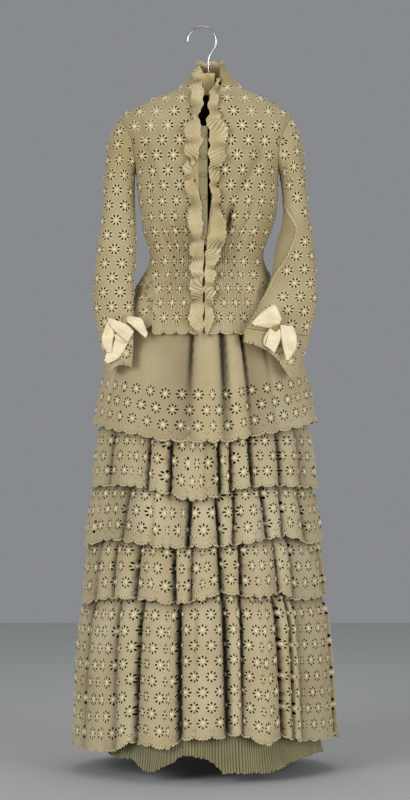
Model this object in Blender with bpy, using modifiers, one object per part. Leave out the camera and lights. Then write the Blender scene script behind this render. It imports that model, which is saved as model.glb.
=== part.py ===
"""Two-piece morning dress of eyelet cloth, hung on a padded hanger.

The origin is where the hook hangs. +X is the viewer's right, -Y the front and +Z up.
Tables are in millimetres and degrees. Angles go round a ring from the centre front,
positive to +X. Every cloth piece is a wall lofted through rings or rows.
"""

import math
from collections import namedtuple

import bmesh
import bpy
import numpy as np

MM = 0.001
CLOTH = 1.5
FRILL = 1.0
RIBBON = 1.0
SEAM = 0.3
BODY_ROUND = 0.85
SKIRT_ROUND = 1.0
SCALLOP_DEPTH = 7.0
SEAM_ANGLE = 0.18

HOOK_RADIUS = 27.6
HOOK_WIRE = 3.2
STEM_X = 12.7
BLOCK_TOP = -90.0
BLOCK_BOTTOM = -132.0
BLOCK_WIDTH = 24.0
BLOCK_DEPTH = 18.0

PAD_DEPTH = 26.0
PAD_HEIGHT = 15.0
PAD_DROP = 3.2

ARMHOLE_Z = -229.0
ARMHOLE_HEIGHT = 53.0
ARMHOLE_WIDTH = 46.0
SLEEVE_COLUMNS = 16

Section = namedtuple("Section", "z centre half front back")
Edge = namedtuple("Edge", "z x")
Seam = namedtuple("Seam", "z angle")
Fold = namedtuple("Fold", "angle depth width")
Cuff = namedtuple("Cuff", "outer_x outer_y outer_z inner_x inner_y inner_z depth")
FrillRow = namedtuple("FrillRow", "z inner outer")
Loop = namedtuple("Loop", "base tip width puff")
Tail = namedtuple("Tail", "points widths")
Tier = namedtuple("Tier", "name scallops rows front_hem side_hem back_hem folds hidden")

BODICE = [
    Section(-108, 5, 41, 46, 42),
    Section(-120, 18, 66, 52, 47),
    Section(-141, 16, 114, 62, 56),
    Section(-160, 11, 146, 70, 63),
    Section(-176, 8, 168, 76, 68),
    Section(-200, 7, 166, 82, 75),
    Section(-239, 8, 155, 90, 82),
    Section(-282, 10, 139, 97, 85),
    Section(-336, 12, 136, 97, 80),
    Section(-366, 13, 131, 92, 75),
    Section(-395, 10, 126, 85, 69),
    Section(-434, 9, 112, 75, 62),
    Section(-449, 9, 110.5, 74, 62),
    Section(-465, 10, 114, 79, 68),
    Section(-492, 9, 130, 94, 84),
    Section(-520, 8, 144, 104, 100),
    Section(-551, 8, 163, 114, 116),
    Section(-600, 8, 185, 126, 139),
    Section(-615, 8, 190, 130, 148),
]
COLLAR_TOP = [Section(-70, 12, 29, 35, 33), Section(-71, 12, 29, 35, 33)]
COLLAR_RISE = 4.0
COLLAR_OPENING = (-8.0, 10.0)
COLLAR_PLEATS = 12
PLEAT_CREST = 2.5
BODICE_ROWS_ABOVE = [-108, -120, -141, -160]
BODICE_ROWS_BELOW = [-336, -395, -434, -449, -465, -505, -551]
FRONT_HEM = -592.0
SIDE_HEM = -582.0
BACK_HEM = -604.0
NECK_DROP = 10.0

FRONT_EDGE_LEFT = [Edge(-108, -7), Edge(-395, -6), Edge(-434, 0), Edge(-600, 2)]
FRONT_EDGE_RIGHT = [
    Edge(-108, 9), Edge(-141, 10), Edge(-170, 14), Edge(-200, 19),
    Edge(-336, 19), Edge(-395, 12), Edge(-434, 8), Edge(-600, 5),
]
SHOULDER_LEFT = [Edge(-112, -36), Edge(-120, -48), Edge(-141, -98), Edge(-160, -135)]
SHOULDER_RIGHT = [Edge(-112, 46), Edge(-120, 84), Edge(-141, 130), Edge(-160, 157)]
SIDE_SEAM = [Seam(-282, 90), Seam(-449, 90), Seam(-465, 72), Seam(-492, 50), Seam(-520, 39), Seam(-600, 30)]

FOUNDATION = [
    Section(-440, 9, 95, 60, 50),
    Section(-492, 9, 112, 77, 68),
    Section(-551, 7, 143, 97, 100),
    Section(-640, 6, 182, 128, 145),
    Section(-800, 6, 198, 160, 185),
    Section(-1000, 3, 215, 178, 205),
    Section(-1200, 4, 229, 199, 218),
    Section(-1392, 5, 240, 215, 228),
]

OVERSKIRT = [
    Section(-442, 9, 99, 64, 54),
    Section(-492, 9, 120, 84, 76),
    Section(-551, 8, 152, 104, 107),
    Section(-640, 6.5, 191, 135, 152),
    Section(-810, 7, 231, 187, 207),
]
FLOUNCE_TWO = [Section(-788, 4, 209, 167, 188), Section(-912, 4, 227, 193, 213)]
FLOUNCE_THREE = [Section(-900, 3, 218, 179, 201), Section(-1004, 3, 239, 203, 221)]
FLOUNCE_FOUR = [Section(-1005, 3, 226, 189, 211), Section(-1124, 4, 244, 217, 233)]
FLOUNCE_FIVE = [
    Section(-1112, 4, 233, 202, 220),
    Section(-1155, 4, 246, 215, 230),
    Section(-1408, 5, 263, 240, 253),
]
DUST_RUFFLE = [Section(-1392, 5, 242.2, 217.2, 230.2), Section(-1424, 5, 249, 229, 240)]
TIER_TOPS = {"flounce_2": -755, "flounce_3": -872, "flounce_4": -976, "flounce_5": -1080, "dust_ruffle": -1330}

OVERSKIRT_FOLDS = [
    Fold(-46, 6, 5), Fold(-28, 5, 5), Fold(-8, 8, 3), Fold(11, 8, 3),
    Fold(20, 6, 4), Fold(36, 6, 5), Fold(53, 6, 5),
]
FLOUNCE_TWO_FOLDS = [
    Fold(-58, 8, 3), Fold(-30, 7, 3), Fold(-18, 7, 3), Fold(-6, 4, 3), Fold(7, 8, 3),
    Fold(14, 8, 3), Fold(24, 8, 3), Fold(33, 6, 3), Fold(43, 8, 3), Fold(60, 8, 3),
]
FLOUNCE_THREE_FOLDS = [
    Fold(-56, 6, 4), Fold(-41, 8, 4), Fold(-26, 6, 4), Fold(-7, 8, 3),
    Fold(7, 8, 3), Fold(18, 9, 3), Fold(40, 8, 4), Fold(54, 8, 3),
]
FLOUNCE_FOUR_FOLDS = [
    Fold(-60, 7, 4), Fold(-47, 8, 4), Fold(-34, 10, 3), Fold(-14, 8, 3), Fold(-5, 7, 3),
    Fold(8, 9, 3), Fold(18, 8, 3), Fold(38, 8, 4), Fold(48, 8, 3),
]
FLOUNCE_FIVE_FOLDS = [
    Fold(-61, 8, 4), Fold(-41, 6, 5), Fold(-31, 14, 3), Fold(-11, 14, 3),
    Fold(10, 15, 3), Fold(19, 9, 3), Fold(36, 13, 3), Fold(44, 13, 3),
]

TIERS = [
    Tier("overskirt", 38, OVERSKIRT, -803, -774, -800, OVERSKIRT_FOLDS, 9),
    Tier("flounce_2", 38, FLOUNCE_TWO, -909, -895, -905, FLOUNCE_TWO_FOLDS, 10),
    Tier("flounce_3", 40, FLOUNCE_THREE, -1000, -1002, -1003, FLOUNCE_THREE_FOLDS, 10),
    Tier("flounce_4", 42, FLOUNCE_FOUR, -1097, -1122, -1122, FLOUNCE_FOUR_FOLDS, 10),
    Tier("flounce_5", 46, FLOUNCE_FIVE, -1364, -1404, -1406, FLOUNCE_FIVE_FOLDS, 10),
]

SLEEVE_LEFT = [
    Cuff(-176, 0, -204, -130.5, 0, -292, 46),
    Cuff(-187, -2, -245, -131, -2, -306, 43),
    Cuff(-192, -6, -310, -131, -6, -336, 38),
    Cuff(-196, -14, -372, -129, -14, -378, 34),
    Cuff(-203, -30, -430, -127, -32, -430, 31),
    Cuff(-208, -50, -490, -130, -60, -490, 28),
    Cuff(-209, -64, -545, -131, -84, -545, 24),
    Cuff(-200, -76, -596, -131, -104, -592, 20),
]
CUFF_LEFT = [
    Cuff(-199, -76, -597, -130, -104, -593, 20),
    Cuff(-197, -86, -632, -127, -114, -630, 18),
    Cuff(-197, -97, -662, -120, -127, -672, 15),
]
SLEEVE_RIGHT = [
    Cuff(190, 0, -204, 152, 0, -292, 46),
    Cuff(198, -2, -245, 153.5, -2, -306, 43),
    Cuff(204, -6, -310, 157, -6, -336, 38),
    Cuff(210, -14, -372, 155, -14, -378, 34),
    Cuff(217, -30, -430, 141, -32, -430, 31),
    Cuff(221, -54, -490, 131, -70, -490, 27),
    Cuff(220, -78, -545, 108, -108, -545, 22),
    Cuff(208, -92, -604, 82, -138, -590, 18),
]
CUFF_RIGHT = [
    Cuff(207, -92, -605, 81, -138, -591, 18),
    Cuff(200, -98, -628, 80, -140, -602, 16),
    Cuff(188, -106, -646, 79, -144, -616, 14),
]
CUFF_RIGHT_TIP = 42.0

FRILL_LEFT = [
    FrillRow(-132, 3, -22), FrillRow(-185, -5, -17), FrillRow(-222, -5, -31), FrillRow(-241, 2, -32),
    FrillRow(-262, -5, -32), FrillRow(-322, -12, -31), FrillRow(-338, -4, -24), FrillRow(-412, -4, -21),
    FrillRow(-432, 3, -22),
    FrillRow(-512, 2, -21), FrillRow(-572, 2, -22), FrillRow(-602, 2, -8),
]
FRILL_RIGHT = [
    FrillRow(-132, 12, 27), FrillRow(-175, 13, 33), FrillRow(-202, 16, 44), FrillRow(-232, 14, 48),
    FrillRow(-300, 13, 34), FrillRow(-350, 19, 42), FrillRow(-412, 12, 44), FrillRow(-432, 6.5, 35),
    FrillRow(-512, 4.5, 25), FrillRow(-572, 4.5, 22), FrillRow(-602, 4.5, 10),
]
FRILL_PLEATS = 18
FRILL_LIFT = 1.9

KNOT_SIZE = (6.0, 6.0, 7.0)
KNOT_LEFT = (-144, -118.8, -578)
LOOPS_LEFT = [
    Loop((-147, -120, -580), (-179, -129, -591), 30, 4),
    Loop((-146, -119, -582), (-176, -123, -632), 22, 3),
]
TAILS_LEFT = [
    Tail([(-140, -119, -577), (-122, -124, -579), (-107, -124, -607)], [9, 22, 10]),
    Tail([(-145, -121, -583), (-158, -126, -622), (-179, -126, -652)], [10, 26, 14]),
]
KNOT_RIGHT = (142, -139, -591)
LOOPS_RIGHT = [Loop((140, -142, -588), (109, -152, -573), 34, 5)]
TAILS_RIGHT = [
    Tail([(140, -140, -594), (135, -146, -612), (131, -147, -634)], [12, 22, 24]),
    Tail([(145, -140, -592), (165, -143, -610), (170, -143, -645)], [12, 26, 14]),
]

BUTTON_X = 3.0
BUTTON_RADIUS = 5.5
BUTTON_HEIGHT = 5.0
BUTTON_Z = [-219, -261, -296, -338, -414]
PLACKET_LEFT = -5.5
PLACKET_RIGHT = 11.5
PLACKET_TOP = -168.0
PLACKET_BOTTOM = -428.0


def smooth_columns(table, z):
    """Each column of a table read between its rows at the heights z."""
    heights = [-row.z for row in table]
    columns = []
    for name in table[0]._fields[1:]:
        columns.append(np.interp(-np.asarray(z, float), heights, [getattr(row, name) for row in table]))
    return columns


def ring(table, z, angle, roundness, out=0.0):
    """Points of a loft at height z and an angle: x = sin, y = -cos, each to a rounding power."""
    z, angle = np.broadcast_arrays(np.asarray(z, float), np.radians(angle))
    centre, half, front, back = smooth_columns(table, z)
    sine, cosine = np.sin(angle), np.cos(angle)
    depth = np.where(cosine > 0, front, back) + out
    x = centre + (half + out) * np.sign(sine) * np.abs(sine) ** roundness
    y = -depth * np.sign(cosine) * np.abs(cosine) ** roundness
    return np.stack([x, y, z], axis=-1)


def bodice(z, angle, out=0.0):
    """The bodice's outer surface: its loft, with the neck dropped at the front."""
    points = ring(BODICE, z, angle, BODY_ROUND, out)
    drop = np.interp(-points[..., 2], [108, 141], [NECK_DROP, 0])
    points[..., 2] -= drop * np.cos(np.radians(angle))
    return points


def angle_at_x(z, x):
    """Angle round the bodice's front at which its surface reaches x."""
    centre, half, _front, _back = smooth_columns(BODICE, z)
    share = (np.asarray(x, float) - centre) / half
    return np.degrees(np.arcsin(np.sign(share) * np.abs(share) ** (1 / BODY_ROUND)))


def edge_x(edges, z):
    """Height table of a front edge read at z."""
    return np.interp(-np.asarray(z, float), [-edge.z for edge in edges], [edge.x for edge in edges])


def armhole_angle(turn, back):
    """Angle round the bodice of an armhole point; turn runs from the shoulder down to the underarm."""
    z = ARMHOLE_Z + ARMHOLE_HEIGHT * math.cos(turn)
    _centre, _half, front, rear = smooth_columns(BODICE, z)
    depth = rear if back else front
    share = ARMHOLE_WIDTH * math.sin(turn) / float(depth)
    return math.degrees(math.acos(share ** (1 / BODY_ROUND)))


def side_angle(z):
    """Angle of the side seam, which swings to the front below the waist."""
    return float(np.interp(-z, [-seam.z for seam in SIDE_SEAM], [seam.angle for seam in SIDE_SEAM]))


def bodice_rows():
    """Row heights down the bodice, with the front and back angles of its side edge at each."""
    rows = [(z, 90.0, 90.0) for z in BODICE_ROWS_ABOVE]
    steps = SLEEVE_COLUMNS // 2
    for step in range(steps + 1):
        turn = math.pi * step / steps
        z = ARMHOLE_Z + ARMHOLE_HEIGHT * math.cos(turn)
        rows.append((z, armhole_angle(turn, False), armhole_angle(turn, True)))
    for z in BODICE_ROWS_BELOW:
        rows.append((z, side_angle(z), side_angle(z)))
    rows.append((FRONT_HEM, side_angle(FRONT_HEM), side_angle(FRONT_HEM)))
    return rows


def new_material(name, colour, roughness, metallic=0.0):
    """A Principled material."""
    material = bpy.data.materials.new(name)
    material.use_nodes = True
    shader = material.node_tree.nodes["Principled BSDF"]
    shader.inputs["Base Color"].default_value = (*colour, 1.0)
    shader.inputs["Roughness"].default_value = roughness
    shader.inputs["Metallic"].default_value = metallic
    return material


def add_object(name, mesh, material, collection):
    """Link a mesh as a named object with one material."""
    mesh.materials.append(material)
    item = bpy.data.objects.new(name, mesh)
    collection.objects.link(item)
    return item


def cloth_wall(name, points, thickness, material, collection, closed=False, flip=False):
    """Wall of cloth under a grid of outer points (rows down, columns to +X), thickened inwards."""
    rows, columns = points.shape[:2]
    faces = []
    last = columns if closed else columns - 1
    for row in range(rows - 1):
        for column in range(last):
            right = (column + 1) % columns
            face = [row * columns + column, (row + 1) * columns + column,
                    (row + 1) * columns + right, row * columns + right]
            faces.append(face[::-1] if flip else face)
    mesh = bpy.data.meshes.new(name)
    mesh.from_pydata((points.reshape(-1, 3) * MM).tolist(), [], faces)
    mesh.shade_smooth()
    item = add_object(name, mesh, material, collection)
    wall = item.modifiers.new("wall", "SOLIDIFY")
    wall.thickness = thickness * MM
    wall.offset = -1
    wall.use_quality_normals = True
    return item


def closed_loft(name, rings, material, collection):
    """Solid through a list of like rings, capped at both ends."""
    rings = np.asarray(rings, float)
    count, sides = rings.shape[:2]
    faces = [list(range(sides))[::-1], [(count - 1) * sides + side for side in range(sides)]]
    for row in range(count - 1):
        for side in range(sides):
            after = (side + 1) % sides
            faces.append([row * sides + side, row * sides + after,
                          (row + 1) * sides + after, (row + 1) * sides + side])
    mesh = bpy.data.meshes.new(name)
    mesh.from_pydata((rings.reshape(-1, 3) * MM).tolist(), [], faces)
    shell = bmesh.new()
    shell.from_mesh(mesh)
    bmesh.ops.recalc_face_normals(shell, faces=shell.faces)
    shell.to_mesh(mesh)
    shell.free()
    mesh.shade_smooth()
    return add_object(name, mesh, material, collection)


def front_panel(name, sign, material, collection):
    """One front, from its opening edge to the shoulder, armhole and side seam."""
    columns = 9
    edges = FRONT_EDGE_RIGHT if sign > 0 else FRONT_EDGE_LEFT
    across = np.linspace(0, 1, columns)
    grid = []
    rows = bodice_rows()
    for z, front_angle, _back in rows:
        inner = float(angle_at_x(z, edge_x(edges, z)))
        outer = sign * (front_angle - SEAM_ANGLE)
        share = across if sign > 0 else 1 - across
        grid.append(bodice(z, inner + (outer - inner) * share))
    hem_wave = np.where(np.arange(columns) % 2 == 0, 0, -SCALLOP_DEPTH)
    grid[-1][:, 2] += hem_wave
    return cloth_wall(name, np.array(grid), CLOTH, material, collection)


def back_panel(material, collection):
    """The back, from side seam to side seam, with its flared peplum."""
    columns = 19
    across = np.linspace(0, 1, columns)
    grid = []
    rows = bodice_rows()
    for z, _front, back_angle in rows:
        in_armhole = ARMHOLE_Z - ARMHOLE_HEIGHT + 1 < z < ARMHOLE_Z + ARMHOLE_HEIGHT - 1
        start = 180 - back_angle if in_armhole else back_angle + 2 * SEAM_ANGLE
        grid.append(bodice(z, start + (360 - 2 * start) * across))
    start = side_angle(SIDE_HEM) + 2 * SEAM_ANGLE
    turn = np.radians(start + (360 - 2 * start) * across)
    hem = SIDE_HEM + (BACK_HEM - SIDE_HEM) * np.clip(-np.cos(turn), 0, 1)
    hem = hem + np.where(np.arange(columns) % 2 == 0, 0, -SCALLOP_DEPTH)
    grid[-1] = bodice(hem, np.degrees(turn))
    return cloth_wall("bodice_back", np.array(grid), CLOTH, material, collection)


def sleeve_ring(row, columns):
    """Ring of a sleeve between its outer and inner points, bowed front and back by its depth."""
    turn = np.arange(columns) * 2 * np.pi / columns
    outer = np.array([row.outer_x, row.outer_y, row.outer_z], float)
    inner = np.array([row.inner_x, row.inner_y, row.inner_z], float)
    points = (outer + inner) / 2 + np.cos(turn)[:, None] * (outer - inner) / 2
    points[:, 1] -= row.depth * np.sin(turn)
    return points


def armhole_ring(sign, columns):
    """The armhole's edge as the sleeve's top ring, a seam's gap outside the bodice."""
    points = []
    for column in range(columns):
        turn = 2 * math.pi * column / columns
        back = turn > math.pi
        folded = 2 * math.pi - turn if back else turn
        z = ARMHOLE_Z + ARMHOLE_HEIGHT * math.cos(folded)
        angle = armhole_angle(folded, back)
        angle = 180 - angle if back else angle
        points.append(bodice(z, sign * angle))
    points = np.array(points)
    points[:, 0] += sign * 2 * SEAM
    return points


def sleeve(name, sign, table, material, collection):
    """A sleeve from the armhole to the wrist."""
    rings = [armhole_ring(sign, SLEEVE_COLUMNS)]
    rings += [sleeve_ring(row, SLEEVE_COLUMNS) for row in table]
    return cloth_wall(name, np.array(rings), CLOTH, material, collection, closed=True, flip=sign > 0)


def cuff_frill(name, sign, table, flutes, tip, material, collection):
    """The flared frill below a wrist, fluted round and scalloped along its edge."""
    columns = flutes * 4
    turn = np.arange(columns) * 2 * np.pi / columns
    rings = []
    for step, row in enumerate(table):
        points = sleeve_ring(row, columns)
        grow = step / (len(table) - 1)
        points[:, 1] -= 3 * grow * np.cos(flutes * turn) * np.sign(np.sin(turn))
        points[:, 2] -= tip * grow * np.exp(-((np.abs(np.sin(turn / 2)) - 0.4) / 0.25) ** 2)
        rings.append(points)
    rings[-1][:, 2] += np.where(np.arange(columns) % 2 == 0, 0, -SCALLOP_DEPTH / 2)
    return cloth_wall(name, np.array(rings), CLOTH, material, collection, closed=True, flip=sign > 0)


def hidden_folds(count, depth):
    """Folds round the sides and back, uneven in place, depth and width by rule."""
    folds = []
    for index in range(count):
        place = 72 + 216 * (index + 0.5) / count + 5 * math.sin(2.4 * index * index)
        folds.append(Fold(place, depth * (0.75 + 0.25 * math.sin(1.7 * index)), 4 + math.cos(index)))
    return folds


def fold_depth(folds, angle):
    """Sum of the folds' soft troughs at each angle."""
    total = np.zeros_like(angle)
    for fold in folds:
        away = (angle - fold.angle + 180) % 360 - 180
        total += fold.depth * np.exp(-((away / fold.width) ** 2))
    return total


def carried_ring(name, angle):
    """Top ring of a tier, sewn round the foundation skirt with a seam's gap."""
    return ring(FOUNDATION, TIER_TOPS[name], angle, SKIRT_ROUND, CLOTH + 1.8 * SEAM)


def tier_wall(tier, material, collection):
    """One tier of the skirt: a ring that flares to a folded, scalloped hem."""
    columns = tier.scallops * 2
    angle = np.arange(columns) * 360.0 / columns
    folds = tier.folds + hidden_folds(tier.hidden, max(fold.depth for fold in tier.folds) * 0.7)
    trough = fold_depth(folds, angle)
    front = np.clip(np.cos(np.radians(angle)), 0, 1)
    back = np.clip(-np.cos(np.radians(angle)), 0, 1)
    hem = tier.side_hem + (tier.front_hem - tier.side_hem) * front + (tier.back_hem - tier.side_hem) * back
    hem = hem + np.where(np.arange(columns) % 2 == 0, 0, SCALLOP_DEPTH)
    grid = [carried_ring(tier.name, angle)] if tier.name in TIER_TOPS else []
    last = len(tier.rows) + len(grid) - 1
    inward = np.stack([-np.sin(np.radians(angle)), np.cos(np.radians(angle)), angle * 0], axis=-1)
    for row in tier.rows:
        step = len(grid)
        height = np.full(columns, float(row.z)) if step < last else hem
        share = (trough * 0.9 * math.sqrt(step / last))[:, None]
        grid.append(ring(tier.rows, height, angle, SKIRT_ROUND) + inward * share)
    return cloth_wall(tier.name, np.array(grid), CLOTH, material, collection, closed=True)


def foundation_skirt(material, collection):
    """The plain skirt under the tiers, which carries them from the waist."""
    angle = np.arange(30) * 12.0
    grid = [ring(FOUNDATION, row.z, angle, SKIRT_ROUND) for row in FOUNDATION]
    return cloth_wall("foundation_skirt", np.array(grid), CLOTH, material, collection, closed=True)


def dust_ruffle(material, collection):
    """The pleated ruffle inside the hem."""
    pleats = 40
    columns = pleats * 2
    angle = np.arange(columns) * 360.0 / columns
    crest = np.where(np.arange(columns) % 2 == 0, 0.0, -3.0)
    middle = ring(DUST_RUFFLE, DUST_RUFFLE[0].z, angle, SKIRT_ROUND, 1.0)
    hem = ring(DUST_RUFFLE, DUST_RUFFLE[1].z, angle, SKIRT_ROUND, crest)
    grid = np.array([carried_ring("dust_ruffle", angle), middle, hem])
    return cloth_wall("dust_ruffle", grid, CLOTH, material, collection, closed=True)


def front_frill(name, sign, table, material, collection):
    """A pleated frill down one front edge, laid on the front's points and moved out."""
    count = FRILL_PLEATS * 2 + 1
    z = np.linspace(table[0].z, table[-1].z, count)
    heights = [-row.z for row in table]
    inner = np.interp(-z, heights, [row.inner for row in table])
    outer = np.interp(-z, heights, [row.outer for row in table])
    crest = np.where(np.arange(count) % 2 == 0, 0.0, PLEAT_CREST)
    grid = []
    for share in (0.0, 0.5, 1.0):
        x = inner + (outer - inner) * share
        lift = FRILL_LIFT + 2.0 * share + crest * (0.3 + 0.7 * share)
        on_panel = bodice(np.maximum(z, FRONT_HEM), angle_at_x(z, x))
        on_panel[:, 0] = x
        on_panel[:, 1] -= lift
        on_panel[:, 2] = z
        grid.append(on_panel)
    grid = np.transpose(np.array(grid), (1, 0, 2))
    return cloth_wall(name, grid, FRILL, material, collection, flip=sign < 0)


def placket_heights():
    """Heights of the button stand's rows, which are the bodice's own between its ends."""
    inside = [z for z, _front, _back in bodice_rows() if PLACKET_BOTTOM < z < PLACKET_TOP]
    return np.array([PLACKET_TOP, *inside, PLACKET_BOTTOM])


def placket(material, collection):
    """The plain button stand beside the left front's edge."""
    z = placket_heights()
    left = np.maximum(PLACKET_LEFT, edge_x(FRONT_EDGE_LEFT, z) + 2 * SEAM)
    right = np.minimum(PLACKET_RIGHT, edge_x(FRONT_EDGE_RIGHT, z) - 2 * SEAM)
    grid = []
    for share in (0.0, 0.5, 1.0):
        grid.append(bodice(z, angle_at_x(z, left + (right - left) * share)))
    grid = np.transpose(np.array(grid), (1, 0, 2))
    return cloth_wall("button_placket", grid, CLOTH, material, collection)


def button(index, z, material, collection):
    """A covered button, flattened against the placket."""
    rows = placket_heights()
    surface = bodice(rows, angle_at_x(rows, BUTTON_X))
    y = float(np.interp(-z, -rows, surface[:, 1])) - BUTTON_HEIGHT / 2 - 1.5 * SEAM
    radii = (BUTTON_RADIUS, BUTTON_HEIGHT / 2, BUTTON_RADIUS)
    ball(f"button_{index}", (BUTTON_X, y, z), radii, material, collection)


def collar_rows(angle, out, shares):
    """Rows round the standing collar, from the neck seam (share 0) to its top edge (share 1)."""
    low = bodice(BODICE[0].z, angle, out)
    low[:, 2] += 2 * SEAM
    high = ring(COLLAR_TOP, COLLAR_TOP[0].z, angle, BODY_ROUND, out)
    high[:, 2] += COLLAR_RISE * np.sin(np.radians(angle))
    return [low + (high - low) * share for share in shares]


def collar(material, frill_material, collection):
    """The standing band, open at the front, and the pleated frill round its outside."""
    left, right = COLLAR_OPENING
    start = float(angle_at_x(BODICE[0].z, right))
    end = 360 + float(angle_at_x(BODICE[0].z, left))
    angle = np.linspace(start, end, 19)
    band = collar_rows(angle, 0.0, (1.0, 0.5, 0.0))
    cloth_wall("collar_band", np.array(band), CLOTH, material, collection)
    count = COLLAR_PLEATS * 2 + 1
    angle = np.linspace(start, end, count)
    crest = np.where(np.arange(count) % 2 == 0, 0.0, PLEAT_CREST)
    away = np.stack([np.sin(np.radians(angle)), -np.cos(np.radians(angle)), angle * 0], axis=-1)
    rows = collar_rows(angle, FRILL + 2 * SEAM, (1.06, 0.75, 0.45))
    for row, lift in zip(rows, (1.0, 0.5, 0.0)):
        row += away * (crest * lift)[:, None]
    cloth_wall("collar_frill", np.array(rows), FRILL, frill_material, collection)


def ribbon_loop(name, loop, material, collection):
    """A loop of ribbon: a flat teardrop band from base to tip and back, lifted by its puff."""
    base, tip = np.array(loop.base, float), np.array(loop.tip, float)
    length = np.linalg.norm(tip - base)
    along = (tip - base) / length
    side = np.cross([0, -1, 0], along)
    turn = np.arange(10) * 2 * np.pi / 10
    place = length * (0.5 - 0.5 * np.cos(turn))
    lift = loop.puff * np.sin(turn) * (0.35 + 0.65 * place / length)
    centre = base + place[:, None] * along + lift[:, None] * np.array([0, -1, 0])
    half = (0.55 + 0.45 * place / length)[:, None] * loop.width / 2
    grid = np.stack([centre - side * half, centre + side * half])
    return cloth_wall(name, grid, RIBBON, material, collection, closed=True)


def ribbon_tail(name, tail, material, collection):
    """A tail of ribbon along a short path, as wide as its table says."""
    points = np.array(tail.points, float)
    along = np.gradient(points, axis=0)
    side = np.cross([0, -1, 0], along)
    side /= np.linalg.norm(side, axis=1)[:, None]
    half = np.array(tail.widths, float)[:, None] / 2
    grid = np.stack([points - side * half, points, points + side * half], axis=1)
    return cloth_wall(name, grid, RIBBON, material, collection, flip=True)


def ball(name, centre, radii, material, collection):
    """A ball squashed to three radii, with its place in its mesh."""
    bpy.ops.mesh.primitive_uv_sphere_add(segments=10, ring_count=6, radius=1.0)
    item = bpy.context.object
    item.name = name
    item.data.name = name
    points = np.empty(len(item.data.vertices) * 3)
    item.data.vertices.foreach_get("co", points)
    points = points.reshape(-1, 3) * radii + np.asarray(centre, float)
    item.data.vertices.foreach_set("co", (points * MM).ravel())
    item.data.shade_smooth()
    item.data.materials.append(material)
    for holder in list(item.users_collection):
        holder.objects.unlink(item)
    collection.objects.link(item)
    return item


def bow(name, knot, loops, tails, material, collection, joined):
    """A ribbon bow: a knot with its loops and tails joined to it."""
    item = ball(name, knot, KNOT_SIZE, material, collection)
    ribbons = [ribbon_loop(f"{name}_loop_{index}", loop, material, joined) for index, loop in enumerate(loops, 1)]
    ribbons += [ribbon_tail(f"{name}_tail_{index}", tail, material, joined) for index, tail in enumerate(tails, 1)]
    for ribbon in ribbons:
        ribbon.hide_render = True
        ribbon.display_type = "WIRE"
        union = item.modifiers.new(ribbon.name, "BOOLEAN")
        union.operation = "UNION"
        union.object = ribbon


def hook(material, collection):
    """The hanger's hook: an arc over the rail, an easy bend and a straight stem."""
    turn = np.radians(np.linspace(188, -38, 15))
    points = [(HOOK_RADIUS * math.cos(a), HOOK_RADIUS * math.sin(a) - HOOK_RADIUS + HOOK_WIRE / 2) for a in turn]
    points += [(17.0, -50.0), (13.6, -57.0), (STEM_X, -64.0), (STEM_X, BLOCK_TOP + SEAM)]
    curve = bpy.data.curves.new("hook", "CURVE")
    curve.dimensions = "3D"
    curve.bevel_depth = HOOK_WIRE / 2 * MM
    curve.bevel_resolution = 2
    curve.use_fill_caps = True
    spline = curve.splines.new("POLY")
    spline.points.add(len(points) - 1)
    for point, (x, z) in zip(spline.points, points):
        point.co = (x * MM, 0, z * MM, 1)
    curve.materials.append(material)
    item = bpy.data.objects.new("hook", curve)
    collection.objects.link(item)


def hanger(wood, muslin, collection):
    """The wooden neck block and a muslin pad along each shoulder."""
    rings = []
    for z, width in ((BLOCK_BOTTOM, BLOCK_WIDTH - 4), (BLOCK_TOP - 2, BLOCK_WIDTH), (BLOCK_TOP, BLOCK_WIDTH - 2)):
        half, deep = width / 2, BLOCK_DEPTH / 2
        rings.append([(STEM_X + x * half, y * deep, z) for x, y in ((-1, -1), (1, -1), (1, 1), (-1, 1))])
    closed_loft("hanger_block", rings, wood, collection)
    for name, sign, line in (("pad_left", -1, SHOULDER_LEFT), ("pad_right", 1, SHOULDER_RIGHT)):
        rings = []
        start = STEM_X + sign * (BLOCK_WIDTH / 2 - 0.8)
        for share in np.linspace(0, 1, 8):
            x = start + (line[-1].x - start) * share
            top = float(np.interp(sign * x, [sign * edge.x for edge in line], [edge.z for edge in line]))
            deep = PAD_DEPTH * (0.65 + 0.35 * math.sin(math.pi * min(1, share * 1.1)))
            tall = PAD_HEIGHT * (0.7 + 0.3 * math.sin(math.pi * share))
            turn = np.arange(12) * 2 * np.pi / 12
            z = top - PAD_DROP - tall + tall * np.sin(turn)
            rings.append(np.stack([np.full(12, x), -deep * np.cos(turn) * sign, z], axis=1))
        closed_loft(name, rings, muslin, collection)


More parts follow.
